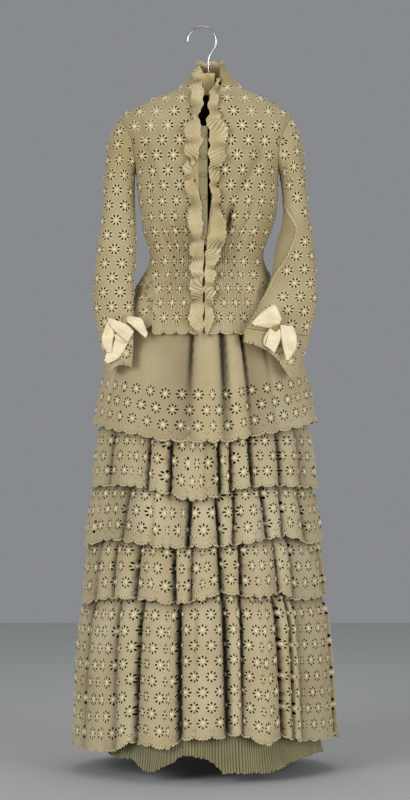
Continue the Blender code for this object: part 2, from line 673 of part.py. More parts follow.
def build():
    """Clear the scene and make every piece."""
    for item in list(bpy.data.objects):
        bpy.data.objects.remove(item, do_unlink=True)
    dress = bpy.data.collections.new("morning_dress")
    joined = bpy.data.collections.new("joined_ribbons")
    for collection in (dress, joined):
        bpy.context.scene.collection.children.link(collection)

    eyelet = new_material("eyelet_cotton", (0.42, 0.37, 0.24), 0.9)
    plain = new_material("plain_cotton", (0.35, 0.32, 0.22), 0.9)
    ecru = new_material("ecru_frill", (0.58, 0.47, 0.24), 0.85)
    satin = new_material("cream_satin", (0.88, 0.78, 0.58), 0.4)
    wood = new_material("beech", (0.6, 0.38, 0.14), 0.6)
    muslin = new_material("white_muslin", (0.8, 0.78, 0.7), 0.9)
    steel = new_material("chromed_steel", (0.75, 0.75, 0.76), 0.2, 1.0)

    front_panel("bodice_front_left", -1, eyelet, dress)
    front_panel("bodice_front_right", 1, eyelet, dress)
    back_panel(eyelet, dress)
    collar(eyelet, ecru, dress)
    placket(plain, dress)
    for index, z in enumerate(BUTTON_Z, 1):
        button(index, z, ecru, dress)
    front_frill("front_frill_left", -1, FRILL_LEFT, ecru, dress)
    front_frill("front_frill_right", 1, FRILL_RIGHT, ecru, dress)
    sleeve("sleeve_left", -1, SLEEVE_LEFT, eyelet, dress)
    sleeve("sleeve_right", 1, SLEEVE_RIGHT, eyelet, dress)
    cuff_frill("cuff_frill_left", -1, CUFF_LEFT, 6, 8.0, eyelet, dress)
    cuff_frill("cuff_frill_right", 1, CUFF_RIGHT, 6, CUFF_RIGHT_TIP, eyelet, dress)
    bow("bow_left", KNOT_LEFT, LOOPS_LEFT, TAILS_LEFT, satin, dress, joined)
    bow("bow_right", KNOT_RIGHT, LOOPS_RIGHT, TAILS_RIGHT, satin, dress, joined)
    foundation_skirt(plain, dress)
    for tier in TIERS:
        tier_wall(tier, eyelet, dress)
    dust_ruffle(plain, dress)
    hook(steel, dress)
    hanger(wood, muslin, dress)


build()
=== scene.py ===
"""Looks of the morning dress: eyelet cloth, frills, ribbon bows and the padded hanger.

Tables are in millimetres and degrees, and a mesh is turned to metres when it is made.
Angles go round a ring from the centre front, positive to +X. Left is the viewer's left.
"""

import math
from collections import namedtuple

import bmesh
import bpy
import numpy as np
from mathutils.geometry import delaunay_2d_cdt
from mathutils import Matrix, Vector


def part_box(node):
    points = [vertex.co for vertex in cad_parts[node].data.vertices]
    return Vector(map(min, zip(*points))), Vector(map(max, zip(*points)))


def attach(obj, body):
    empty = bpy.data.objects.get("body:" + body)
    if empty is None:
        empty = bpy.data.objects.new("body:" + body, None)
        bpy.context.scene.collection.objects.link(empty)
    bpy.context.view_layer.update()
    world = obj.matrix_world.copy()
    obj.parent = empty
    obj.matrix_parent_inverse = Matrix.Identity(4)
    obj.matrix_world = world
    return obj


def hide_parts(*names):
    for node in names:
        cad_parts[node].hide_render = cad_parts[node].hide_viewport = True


bl_info = {
    "name": "Morning dress",
    "version": (1, 0, 0),
    "blender": (4, 5, 0),
    "location": "View3D > Sidebar > Dress",
    "description": "Builds the cloth, trimmings and hanger of an eyelet morning dress",
    "category": "Add Mesh",
}

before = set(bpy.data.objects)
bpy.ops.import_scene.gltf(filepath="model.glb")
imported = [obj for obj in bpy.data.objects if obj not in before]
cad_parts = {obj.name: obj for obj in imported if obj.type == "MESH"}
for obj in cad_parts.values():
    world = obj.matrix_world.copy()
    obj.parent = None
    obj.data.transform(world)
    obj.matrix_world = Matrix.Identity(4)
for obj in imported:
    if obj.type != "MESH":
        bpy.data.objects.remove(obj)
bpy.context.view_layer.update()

MM = 0.001
BODY_ROUND = 0.85
SKIRT_ROUND = 1.0
NECK_DROP = 10.0

Section = namedtuple("Section", "z centre half front back")
Edge = namedtuple("Edge", "z x")
Seam = namedtuple("Seam", "z angle")
Hem = namedtuple("Hem", "angle z")
Fold = namedtuple("Fold", "angle depth width top hem")
Crease = namedtuple("Crease", "x1 z1 x2 z2 depth width")
Cuff = namedtuple("Cuff", "outer_x outer_y outer_z inner_x inner_y inner_z depth")
FrillRow = namedtuple("FrillRow", "z inner outer")
Patch = namedtuple("Patch", "left right y lift puff creases")
Turned = namedtuple("Turned", "turn z")
Tier = namedtuple("Tier", "name top rows hem folds hidden depth flower_rows seed")
Motif = namedtuple("Motif", "pitch spacing size turned")
Cloth = namedtuple("Cloth", "points faces flowers eyelets")


def table(kind, *rows):
    """A table of named rows."""
    return [kind(*row) for row in rows]

BODICE = table(
    Section,
    (-108, 18, 54, 48, 43), (-120, 18, 66, 52, 47), (-141, 16, 114, 62, 56), (-160, 11, 146, 70, 63),
    (-176, 8, 168, 76, 68), (-200, 7, 166, 82, 75), (-239, 8, 155, 90, 82), (-282, 10, 139, 97, 85),
    (-336, 12, 136, 97, 80), (-366, 13, 131, 92, 75), (-395, 10, 126, 85, 69), (-434, 9, 112, 75, 62),
    (-449, 9, 110.5, 74, 62), (-465, 10, 114, 79, 68), (-492, 9, 130, 94, 84), (-520, 8, 144, 104, 100),
    (-551, 8, 163, 114, 116), (-600, 8, 185, 126, 139), (-615, 8, 190, 130, 148),
)
FRONT_HEM = -592.0
BACK_HEM = -604.0
SIDE_HEM = -582.0
FRONT_EDGE_LEFT = table(
    Edge,
    (-108, 0), (-126, 0), (-150, -7), (-395, -6), (-434, 0), (-600, 2),
)
FRONT_EDGE_RIGHT = table(
    Edge,
    (-108, 30), (-120, 26), (-138, 14), (-170, 14), (-200, 19), (-336, 19), (-395, 12), (-434, 8),
    (-600, 5),
)
SIDE_SEAM = table(
    Seam,
    (-282, 90), (-449, 90), (-465, 72), (-492, 50), (-520, 39), (-600, 30),
)
ARMHOLE_Z = -229.0
ARMHOLE_HEIGHT = 53.0
ARMHOLE_WIDTH = 46.0
COLLAR = table(
    Section,
    (-70, 15, 25, 33, 32), (-80, 16.5, 30, 35, 34), (-89, 17, 36, 38, 36), (-99, 18.5, 43, 43, 39),
    (-108, 18, 54, 48, 43),
)

FOUNDATION = table(
    Section,
    (-440, 9, 95, 60, 50), (-492, 9, 112, 77, 68), (-551, 7, 143, 97, 100), (-640, 6, 182, 128, 145),
    (-800, 6, 198, 160, 185), (-1000, 3, 215, 178, 205), (-1200, 4, 229, 199, 218),
    (-1392, 5, 240, 215, 228),
)
OVERSKIRT = table(
    Section,
    (-442, 9, 99, 64, 54), (-492, 9, 120, 84, 76), (-551, 8, 152, 104, 107), (-640, 6.5, 191, 135, 152),
    (-810, 7, 231, 187, 207),
)
FLOUNCE_TWO = table(
    Section,
    (-788, 4, 209, 167, 188), (-912, 4, 227, 193, 213),
)
FLOUNCE_THREE = table(
    Section,
    (-900, 3, 218, 179, 201), (-1004, 3, 239, 203, 221),
)
FLOUNCE_FOUR = table(
    Section,
    (-1005, 3, 226, 189, 211), (-1124, 4, 244, 217, 233),
)
FLOUNCE_FIVE = table(
    Section,
    (-1112, 4, 233, 202, 220), (-1155, 4, 246, 215, 230), (-1408, 5, 263, 240, 253),
)
DUST_RUFFLE = table(
    Section,
    (-1330, 5, 214, 200, 212), (-1392, 5, 223, 212, 221), (-1432, 5, 232, 225, 233),
)

OVERSKIRT_HEM = table(
    Hem,
    (-180, -800), (-81, -773), (-45, -787), (-32, -794), (-22, -802), (0, -805), (11, -804), (21, -796),
    (38, -787), (51, -780), (77, -767), (180, -800),
)
HEM_TWO = table(
    Hem,
    (-180, -905), (-83, -895), (-45, -888), (-27, -896), (-16, -905), (-7, -914), (5, -909), (12, -901),
    (22, -890), (36, -889), (76, -895), (180, -905),
)
HEM_THREE = table(
    Hem,
    (-180, -1003), (-80, -1007), (-48, -992), (-30, -998), (-18, -1004), (3, -1002), (17, -997),
    (43, -986), (63, -1000), (80, -994), (180, -1003),
)
HEM_FOUR = table(
    Hem,
    (-180, -1122), (-75, -1118), (-44, -1101), (-25, -1102), (-17, -1108), (-2, -1102), (8, -1089),
    (26, -1096), (36, -1092), (52, -1106), (73, -1104), (180, -1122),
)
HEM_FIVE = table(
    Hem,
    (-180, -1406), (-76, -1396), (-43, -1388), (-32, -1371), (-15, -1377), (-10, -1360), (7, -1357),
    (14, -1352), (28, -1372), (34, -1360), (45, -1370), (73, -1376), (180, -1406),
)

RUFFLE_HEM = table(
    Hem,
    (-180, -1414), (-100, -1402), (-61, -1391), (-54, -1403), (-38, -1404), (-31, -1421), (-28, -1426),
    (-21, -1417), (-15, -1405), (-11, -1393), (-2, -1396), (6, -1412), (9, -1424), (31, -1427),
    (42, -1419), (52, -1410), (66, -1405), (90, -1409), (180, -1414),
)
OVERSKIRT_FOLDS = table(
    Fold,
    (-62, 5, 9, 1.0, 0.3), (-9, 19, 5, 1.2, 0.0), (1, 6, 8, 1.0, 0.2), (11, 17, 8, 1.15, 0.3),
    (24, 19, 5, 1.2, 0.1), (40, 4.5, 8, 1.0, 0.3),
)
FLOUNCE_TWO_FOLDS = table(
    Fold,
    (-58, 10, 5, 1.2, 0.6), (-30, 16, 4, 0.8, 1.0), (-18, 18, 4.5, 0.9, 1.0), (1, 7, 3.5, 0.9, 0.7),
    (8, 17, 4, 1.0, 0.9), (14, 17, 4, 1.0, 0.8), (25, 19, 5, 1.2, 0.9), (43, 14, 5, 1.2, 0.8),
    (60, 9, 5, 0.9, 0.9),
)
FLOUNCE_THREE_FOLDS = table(
    Fold,
    (-66, 6, 5, 0.8, 0.9), (-43, 18, 4, 1.1, 0.9), (-26, 6, 6, 0.7, 1.0), (-7, 18, 5, 0.7, 1.1),
    (7, 18, 4, 1.0, 1.0), (15, 12, 3.5, 0.7, 1.0), (32, 17, 4, 1.1, 0.9), (42, 12, 4, 0.8, 0.9),
    (58, 14, 5, 0.8, 1.1),
)
FLOUNCE_FOUR_FOLDS = table(
    Fold,
    (-63, 8, 5, 0.9, 0.9), (-49, 9, 5, 0.8, 1.0), (-34, 15, 5, 1.1, 1.0), (-14, 14, 5, 0.8, 1.1),
    (-6, 10, 4, 0.8, 0.9), (8, 14, 5, 0.9, 1.0), (18, 14, 4.5, 1.0, 1.0), (38, 12, 3, 1.0, 1.0),
    (47, 14, 4, 1.1, 0.9), (66, 5, 5, 0.8, 1.0),
)
FLOUNCE_FIVE_FOLDS = table(
    Fold,
    (-66, 9, 6, 1.1, 0.6), (-43, 8, 7, 1.1, 0.6), (-31, 17, 4.5, 1.1, 1.0), (-11, 17, 6, 1.2, 0.8),
    (-4, 7, 4, 1.0, 0.6), (10, 18, 6.5, 1.0, 1.0), (17, 12, 4, 1.2, 0.5), (36, 17, 5, 1.0, 1.0),
    (42, 17, 5, 1.2, 0.5), (47, 8, 4, 0.4, 1.4), (68, 7, 6, 0.8, 0.9),
)
TIERS = table(
    Tier,
    ("overskirt", -442, OVERSKIRT, OVERSKIRT_HEM, OVERSKIRT_FOLDS, 13, 8, 3, 3),
    ("flounce_2", -755, FLOUNCE_TWO, HEM_TWO, FLOUNCE_TWO_FOLDS, 19, 12, 9, 5),
    ("flounce_3", -872, FLOUNCE_THREE, HEM_THREE, FLOUNCE_THREE_FOLDS, 18, 12, 9, 8),
    ("flounce_4", -976, FLOUNCE_FOUR, HEM_FOUR, FLOUNCE_FOUR_FOLDS, 19, 13, 9, 13),
    ("flounce_5", -1080, FLOUNCE_FIVE, HEM_FIVE, FLOUNCE_FIVE_FOLDS, 18, 16, 99, 21),
)

SLEEVE_LEFT = table(
    Cuff,
    (-176, 0, -204, -130.5, 0, -292, 46), (-187, -2, -245, -131, -2, -306, 43),
    (-192, -6, -310, -131, -6, -336, 38), (-196, -14, -372, -129, -14, -378, 34),
    (-203, -30, -430, -127, -32, -430, 31), (-208, -50, -490, -130, -60, -490, 28),
    (-209, -64, -545, -131, -84, -545, 24), (-200, -76, -596, -131, -104, -592, 20),
)
CUFF_LEFT = table(
    Cuff,
    (-199, -76, -597, -130, -104, -593, 20), (-192, -86, -630, -131, -114, -626, 18),
    (-186, -97, -648, -133, -124, -664, 15),
)
SLEEVE_RIGHT = table(
    Cuff,
    (190, 0, -204, 152, 0, -292, 46), (198, -2, -245, 153.5, -2, -306, 43),
    (204, -6, -310, 157, -6, -336, 38), (210, -14, -372, 155, -14, -378, 34),
    (217, -30, -430, 141, -32, -430, 31), (221, -54, -490, 131, -70, -490, 27),
    (220, -78, -545, 108, -108, -545, 22), (208, -92, -604, 82, -138, -590, 18),
)
CUFF_RIGHT = table(
    Cuff,
    (207, -92, -605, 81, -138, -591, 18), (200, -98, -628, 80, -140, -602, 16),
    (188, -106, -646, 79, -144, -616, 14),
)
CUFF_RIGHT_TIP = 42.0
CUFF_LEFT_TIP = 22.0
UNDER_SLEEVE = table(
    Turned,
    (142, -352), (115, -369), (97, -382), (86, -397), (93, -420), (106, -446), (122, -466), (143, -490),
    (152, -520), (170, -540), (200, -540), (228, -500), (240, -440), (226, -375), (188, -340),
)
GATHER_START = 14.0
GATHER_WIDTH = 120.0
GATHER_RATIO = table(
    Edge,
    (-108, 1.0), (-300, 1.0), (-380, 1.35), (-434, 2.1), (-470, 2.0), (-540, 1.5), (-612, 1.25),
)

FRILL_LEFT = table(
    FrillRow,
    (-77, -3, -13), (-94, 2, -18), (-112, 3, -20), (-126, 2, -17), (-140, 3, -19), (-152, 4, -24),
    (-166, -2, -26), (-182, -6, -15), (-192, -4, -20), (-204, -3, -30), (-216, 2, -33), (-232, 1, -32),
    (-252, -6, -31), (-268, -9, -32), (-285, -18, -33), (-300, -16, -31), (-322, -9, -30),
    (-338, -3, -26), (-372, 1, -25), (-412, 2, -21), (-432, 4, -22), (-512, 2, -21), (-572, 3, -22),
    (-588, 3, -17), (-602, 3, -6),
)
FRILL_RIGHT = table(
    FrillRow,
    (-104, 27, 33), (-118, 24, 32), (-134, 15, 27), (-152, 13, 31), (-175, 13, 37), (-190, 9, 35),
    (-204, 11, 44), (-216, 15, 48), (-236, 14, 48), (-252, 13, 45), (-276, 14, 38), (-300, 14, 31),
    (-345, 20, 34), (-372, 18, 39), (-400, 14, 45), (-418, 11, 47), (-432, 8, 39), (-450, 7, 32),
    (-476, 6, 25), (-512, 4.5, 23), (-545, 5, 21), (-572, 5, 20), (-590, 5, 15), (-604, 4.5, 8),
)

CUFF_RIGHT_FLOWERS = np.array([
    (105.0, -597.0), (127.0, -612.0), (149.0, -631.0), (171.0, -652.0), (184.0, -620.0),
])
KNOT_LEFT = (-147, -124, -574)
PATCHES_LEFT = table(
    Patch,
    ([(-146, -567), (-127, -568), (-114, -572), (-108, -586), (-103, -600)],
     [(-144, -577), (-135, -584), (-123, -595), (-113, -604), (-107, -608)], -123, 2, 7, 2),
    ([(-163, -601), (-171, -622), (-181, -636), (-186, -651)],
     [(-141, -617), (-150, -635), (-160, -648), (-179, -657)], -124, 1, 3, 3),
    ([(-178, -574), (-190, -604), (-189, -620), (-181, -635)],
     [(-172, -580), (-166, -598), (-169, -612), (-172, -636)], -124, 5, 7, 2),
    ([(-168, -600), (-158, -602), (-146, -611)],
     [(-164, -611), (-155, -617), (-144, -618)], -124, 4, 4, 1),
    ([(-178, -570), (-162, -575), (-142, -583), (-129, -596)],
     [(-179, -576), (-167, -594), (-154, -607), (-141, -617)], -124, 10, 8, 2),
)
KNOT_RIGHT = (139, -150, -590)
PATCHES_RIGHT = table(
    Patch,
    ([(148, -584), (149, -603), (153, -626), (160, -651)],
     [(173, -587), (180, -606), (179, -629), (164, -651)], -146, 2, 7, 5),
    ([(130, -588), (119, -605), (116, -618), (119, -624)],
     [(136, -592), (126, -607), (122, -617), (123, -625)], -146, 1, 4, 1),
    ([(129, -592), (124, -608), (120, -623)],
     [(148, -592), (149, -611), (138, -637)], -146, 5, 4, 2),
    ([(151, -572), (139, -546), (116, -557), (94, -580)],
     [(146, -584), (129, -590), (112, -588), (99, -585)], -146, 5, 10, 3),
)

BUTTONS = 5
HOOK_RADIUS = 27.6
HOOK_WIRE = 3.2
STEM_X = 12.7
BLOCK_TOP = -90.0

SKIRT_MOTIF = Motif(34.0, 30.0, 0.98, False)
BODY_MOTIF = Motif(35.0, 29.5, 0.95, True)
PETALS = 8
PETAL_OUTLINE = [
    (5.9, 0), (7.1, 1.25), (9.2, 1.95), (11.2, 1.5), (12.1, 0), (11.2, -1.5), (9.2, -1.95), (7.1, -1.25),
]
FLOWER_CLEAR = 13.2
DOME_TIP = 1.4
DOME_RINGS = [(3.9, 0.0), (3.0, 0.7), (1.5, 1.2)]
SCALLOP_DEPTH = 7.5
LOBE_DEPTH = 2.6
LOBES = 5
LOBE_STEPS = 4
EYELET_RADIUS = 1.2
DOME_SIDES = 8
HEM_PROFILE = [(-0.4, -0.2), (-0.2, 0.7), (0.8, 0.9), (1.7, 0.5), (2.1, 0.05)]
TUBE_SIDES = 14
THREAD_PITCH = 0.9
# Dark colour that painted shade in folds goes towards.
FOLD_SHADE_COLOUR = "#1a1408"
NOWHERE = 60.0
EYELET_CODE = 100.0
FIRST_ROW = 30.0

SHOULDER_CREASES_LEFT = table(
    Crease,
    (-126, -180, -78, -345, 4.0, 6), (-104, -165, -58, -330, 3.0, 6), (-112, -250, -96, -350, 2.5, 5),
    (-60, -340, -38, -440, 4.5, 6), (-84, -380, -66, -450, 3.0, 5),
)
SHOULDER_CREASES_RIGHT = table(
    Crease,
    (44, -412, 62, -345, 11, 7), (58, -352, 118, -236, 6.5, 8), (126, -190, 104, -300, 3, 7),
    (76, -420, 104, -340, 3.5, 6), (60, -250, 50, -330, 2.5, 5),
)
SLEEVE_CREASES = table(
    Crease,
    (-160, -205, -172, -330, 2.0, 6), (-140, -300, -180, -345, 2.5, 6), (-186, -400, -150, -450, 2.5, 8),
    (-200, -470, -160, -500, 2.0, 7), (-150, -520, -160, -585, 2.2, 5), (-185, -530, -180, -590, 2.2, 5),
    (178, -215, 186, -330, 2.0, 6), (160, -300, 196, -350, 2.5, 7), (208, -400, 176, -450, 2.5, 8),
    (214, -480, 170, -520, 2.5, 8), (150, -540, 130, -585, 2.2, 6), (200, -545, 180, -595, 2.5, 6),
)


def hermite(start, end, slope_a, slope_b, s):
    """Cubic from a start to an end with their slopes, at a share s of the way."""
    curve = start * (1 + 2 * s) * (1 - s) ** 2 + slope_a * s * (1 - s) ** 2
    return curve + end * s * s * (3 - 2 * s) + slope_b * s * s * (s - 1)


def read_smooth(knots, values, at):
    """Monotone cubic through rising knots: each knot's slope is the harmonic mean of its neighbours'."""
    knots, values = np.asarray(knots, float), np.asarray(values, float)
    step = np.diff(knots)
    rise = np.diff(values) / step
    product = rise[:-1] * rise[1:]
    total = np.where(product > 0, rise[:-1] + rise[1:], 1.0)
    slope = np.concatenate([rise[:1], np.where(product > 0, 2 * product / total, 0.0), rise[-1:]])
    at = np.clip(np.asarray(at, float), knots[0], knots[-1])
    index = np.clip(np.searchsorted(knots, at, side="right") - 1, 0, len(step) - 1)
    width = step[index]
    s = (at - knots[index]) / width
    return hermite(values[index], values[index + 1], slope[index] * width, slope[index + 1] * width, s)


def read_table(rows, z, column):
    """One column of a table at the heights z, smoothly between its rows."""
    heights = [-row.z for row in rows]
    return read_smooth(heights, [getattr(row, column) for row in rows], -np.asarray(z, float))


def read_straight(rows, z, column):
    """One column of a table at the heights z, straight between its rows."""
    return np.interp(-z, [-row.z for row in rows], [getattr(row, column) for row in rows])


def arc_lengths(points):
    """Length along a line of points from its start to each of them."""
    return np.concatenate([[0], np.cumsum(np.linalg.norm(np.diff(points, axis=0), axis=1))])


def inward(angle):
    """Level unit vector from a ring's wall towards its middle."""
    return np.stack([-np.sin(np.radians(angle)), np.cos(np.radians(angle)), 0 * angle], axis=-1)


def ring(table, z, angle, roundness, out=0.0):
    """Loft at height z and angle: x = centre + half sin, y = -depth cos, each to a rounding power."""
    z, angle = np.broadcast_arrays(np.asarray(z, float), np.radians(angle))
    sine, cosine = np.sin(angle), np.cos(angle)
    depth = np.where(cosine > 0, read_table(table, z, "front"), read_table(table, z, "back")) + out
    half = read_table(table, z, "half") + out
    x = read_table(table, z, "centre") + half * np.sign(sine) * np.abs(sine) ** roundness
    y = -depth * np.sign(cosine) * np.abs(cosine) ** roundness
    return np.stack([x, y, z], axis=-1)


def bodice(z, angle, out=0.0):
    """The bodice's outer surface, with the neck dropped at the front."""
    points = ring(BODICE, z, angle, BODY_ROUND, out)
    drop = np.interp(-points[..., 2], [108, 141], [NECK_DROP, 0])
    points[..., 2] -= drop * np.cos(np.radians(angle))
    return points


class ArcRings:
    """Rings stacked along a shape, read by arc length: rows are heights or stations, columns angles."""

    def __init__(self, rows, angles, points):
        """Cumulative chord lengths along each ring, turned round to give angles at even shares."""
        self.rows = np.asarray(rows, float)
        steps = np.linalg.norm(np.diff(points, axis=1), axis=-1)
        arcs = np.concatenate([np.zeros((len(rows), 1)), np.cumsum(steps, axis=1)], axis=1)
        self.angles, self.arcs, self.total = np.asarray(angles, float), arcs, arcs[:, -1]
        shares = np.linspace(0, 1, 161)
        self.by_share = np.array([np.interp(shares * arc[-1], arc, self.angles) for arc in arcs])

    def length(self, row):
        """Whole arc length of the ring at a row."""
        return np.interp(row, self.rows, self.total)

    def angle(self, row, arc):
        """Angle at an arc length along the ring at a row, by bilinear reading; odd about zero."""
        place = np.interp(row, self.rows, np.arange(len(self.rows)))
        low = np.minimum(place.astype(int), len(self.rows) - 2)
        share = np.clip(np.abs(arc) / self.length(row), 0, 1) * (self.by_share.shape[1] - 1)
        left = np.minimum(share.astype(int), self.by_share.shape[1] - 2)
        down, across = place - low, share - left
        upper = self.by_share[low, left] * (1 - across) + self.by_share[low, left + 1] * across
        lower = self.by_share[low + 1, left] * (1 - across) + self.by_share[low + 1, left + 1] * across
        return np.sign(arc) * (upper * (1 - down) + lower * down)

    def arc(self, row, angle):
        """Arc length from zero to an angle, for one row and angle after another."""
        place = np.interp(row, self.rows, np.arange(len(self.rows)))
        low = np.minimum(place.astype(int), len(self.rows) - 2)
        found = []
        for start, share, at in zip(low, place - low, np.abs(angle)):
            upper = np.interp(at, self.angles, self.arcs[start])
            found.append(upper * (1 - share) + np.interp(at, self.angles, self.arcs[start + 1]) * share)
        return np.array(found)


def crease_depth(x, z, creases):
    """Depth of creases at front-view places: troughs along straight lines that fade at the ends."""
    total = np.zeros_like(x)
    for crease in creases:
        along = np.array([crease.x2 - crease.x1, crease.z2 - crease.z1], float)
        length = np.linalg.norm(along)
        along /= length
        dx, dz = x - crease.x1, z - crease.z1
        run = dx * along[0] + dz * along[1]
        away = dx * along[1] - dz * along[0]
        ends = np.clip(run / length, 0, 1)
        fade = np.sin(np.pi * ends) ** 0.6 * (ends > 0) * (ends < 1)
        total += crease.depth * np.exp(-((away / crease.width) ** 2)) * fade
    return total


def in_chunks(function, points, size=1500):
    """A function of many points, worked out some at a time to spare memory."""
    return np.concatenate([function(points[at:at + size]) for at in range(0, max(len(points), 1), size)])


def inside(points, outline):
    """Whether points lie inside an outline: a ray to the right crosses it an odd number of times."""
    start, end = outline, np.roll(outline, -1, axis=0)
    level = end[:, 1] == start[:, 1]
    slope = np.where(level, 0, 1) / np.where(level, 1, end[:, 1] - start[:, 1])

    def test(some):
        x, y = some[:, 0, None], some[:, 1, None]
        crossed = (start[:, 1] > y) != (end[:, 1] > y)
        at = start[:, 0] + (y - start[:, 1]) * (end[:, 0] - start[:, 0]) * slope
        return (crossed & (x < at)).sum(axis=1) % 2 == 1

    return in_chunks(test, points)


def edge_distance(points, outline):
    """Distance of points from the nearest stretch of an outline."""
    start = outline
    along = np.roll(outline, -1, axis=0) - outline
    square = np.maximum((along ** 2).sum(axis=1), 1e-12)

    def test(some):
        away = some[:, None, :] - start
        share = np.clip((away * along).sum(axis=2) / square, 0, 1)
        return np.sqrt((((away - share[..., None] * along) ** 2).sum(axis=2)).min(axis=1))

    return in_chunks(test, points, 800)


def nearest(points, centres):
    """Index of the nearest centre to each point, and its distance."""

    def test(some):
        away = ((some[:, None, :] - centres) ** 2).sum(axis=2)
        index = away.argmin(axis=1)
        return np.stack([index, np.sqrt(away[np.arange(len(some)), index])], axis=1)

    found = in_chunks(test, points)
    return found[:, 0].astype(int), found[:, 1]


def flower_centres(motif, low, high, start, rows=99):
    """Centres of a brick lattice of flowers between two corners, counted up from a start point."""
    count = int(max(high[0] - low[0], high[1] - low[1]) / min(motif.pitch, motif.spacing)) + 3
    centres = []
    for row in range(-count, count + 1) if motif.turned else range(min(rows, count + 1)):
        steps = (np.arange(-count, count + 1) + 0.5 * (row % 2)) * motif.pitch
        centres.append(np.stack([start[0] + steps, np.full(len(steps), start[1] - row * motif.spacing)], axis=1))
    centres = np.concatenate(centres)
    keep = np.all((centres > np.array(low) - 12) & (centres < np.array(high) + 12), axis=1)
    return centres[keep]


def petal_loops(centres, motif):
    """Petal holes round each flower: the outline turned by even steps, as (flower, petal, point, 2)."""
    shape = np.array(PETAL_OUTLINE) * motif.size
    turn = (np.arange(PETALS) + 0.5 * motif.turned) * 2 * np.pi / PETALS
    cosine, sine = np.cos(turn)[:, None], np.sin(turn)[:, None]
    x, y = shape[:, 0], shape[:, 1]
    petals = np.stack([x * cosine - y * sine, x * sine + y * cosine], axis=-1)
    return centres[:, None, None, :] + petals


def eyelet_loops(centres):
    """Small round holes of six sides about their centres."""
    turn = np.arange(6) * np.pi / 3
    circle = np.stack([np.cos(turn), np.sin(turn)], axis=1) * EYELET_RADIUS
    return centres[:, None, :] + circle


def scallop(u, pitch):
    """Depth of a scalloped hem below its notches: half an oval for each scallop, and small lobes on it."""
    share = np.mod(u / pitch, 1.0)
    oval = np.sqrt(np.clip(1 - (2 * share - 1) ** 2, 0, 1))
    lobes = LOBE_DEPTH * np.sqrt(np.abs(np.sin(np.pi * LOBES * share)))
    return SCALLOP_DEPTH * oval + lobes * np.minimum(oval * 2, 1)


def border_eyelets(length, pitch, hem_v):
    """Centres of the small eyelets of a scalloped border: along each scallop, and three above each notch."""
    count = int(round(length / pitch))
    share = (np.arange(LOBES) + 0.5) / LOBES
    along = (np.arange(count)[:, None] + share).ravel() * pitch
    depth = hem_v + scallop(along, pitch) - 4.6
    notches = np.arange(1, count) * pitch
    three = [(0, -6.0), (-3.4, -9.5), (3.4, -9.5)]
    above = [np.stack([notches + du, np.full(len(notches), hem_v + dv)], axis=1) for du, dv in three]
    return np.concatenate([np.stack([along, depth], axis=1), *above])
def cut_cloth(outline, flowers, motif, eyelets, seeds, openings=()):
    """A flat cloth as a Delaunay mesh through its outline, its holes, any larger openings and inner seeds.

    A face goes when its corners all lie on one hole, or it lies outside the outline or in an opening.
    """
    petals = petal_loops(flowers, motif).reshape(-1, len(PETAL_OUTLINE), 2)
    middle = petals.mean(axis=1)
    keep = inside(middle, outline) & (edge_distance(middle, outline) > 3.2)
    for opening in openings:
        keep &= ~inside(middle, opening) & (edge_distance(middle, opening) > 3.2)
    petals = petals[keep]
    spare = np.ones(len(seeds), bool)
    if len(flowers):
        spare &= nearest(seeds, flowers)[1] > FLOWER_CLEAR * motif.size
    dots = eyelet_loops(eyelets) if len(eyelets) else np.zeros((0, 6, 2))
    if len(eyelets):
        spare &= nearest(seeds, eyelets)[1] > 2.6
    seeds = seeds[spare]
    seeds = seeds[inside(seeds, outline)]
    seeds = seeds[edge_distance(seeds, outline) > 2.0]
    hearts = flowers[inside(flowers, outline)] if len(flowers) else flowers
    if len(hearts):
        hearts = hearts[edge_distance(hearts, outline) > 4.6]
    for opening in openings:
        seeds = seeds[~inside(seeds, opening) & (edge_distance(seeds, opening) > 1.6)]
        hearts = hearts[~inside(hearts, opening) & (edge_distance(hearts, opening) > 4.6)]
    loops = [outline, *openings, *petals, *dots]
    sizes = [len(loop) for loop in loops]
    starts = np.cumsum([0, *sizes])
    owner = np.concatenate([np.repeat(np.arange(len(loops)), sizes), np.full(len(seeds) + len(hearts), -1)])
    points = np.concatenate([*loops, seeds, hearts])
    edges = []
    for start, size in zip(starts, sizes):
        index = np.arange(size)
        edges.append(np.stack([start + index, start + (index + 1) % size], axis=1))
    edges = np.concatenate(edges)
    made = delaunay_2d_cdt(points.tolist(), edges.tolist(), [], 0, 1e-5)
    points = np.array([tuple(point) for point in made[0]])
    faces = np.array(made[2])
    source = np.array([origin[0] if origin else -1 for origin in made[3]])
    owners = np.where(source >= 0, owner[source], -1)[faces]
    same = (owners == owners[:, :1]).all(axis=1)
    in_hole = same & (owners[:, 0] > len(openings))
    outside = np.zeros(len(faces), bool)
    for index, loop in enumerate([outline, *openings]):
        edge_faces = np.flatnonzero(same & (owners[:, 0] == index))
        if len(edge_faces):
            within = inside(points[faces[edge_faces]].mean(axis=1), loop)
            outside[edge_faces] = within if index else ~within
    faces = faces[~(in_hole | outside)]
    used, faces = np.unique(faces, return_inverse=True)
    return Cloth(points[used], faces.reshape(-1, 3), hearts, eyelets)


def lifted(surface, uv, out):
    """Points of a surface moved out along its normal, the cross product of its two slopes."""
    points = surface(uv[:, 0], uv[:, 1])
    along = surface(uv[:, 0] + 0.5, uv[:, 1]) - surface(uv[:, 0] - 0.5, uv[:, 1])
    down = surface(uv[:, 0], uv[:, 1] + 0.5) - surface(uv[:, 0], uv[:, 1] - 0.5)
    normal = np.cross(down, along)
    normal /= np.maximum(np.linalg.norm(normal, axis=1), 1e-9)[:, None]
    return points + normal * np.broadcast_to(out, len(points))[:, None]


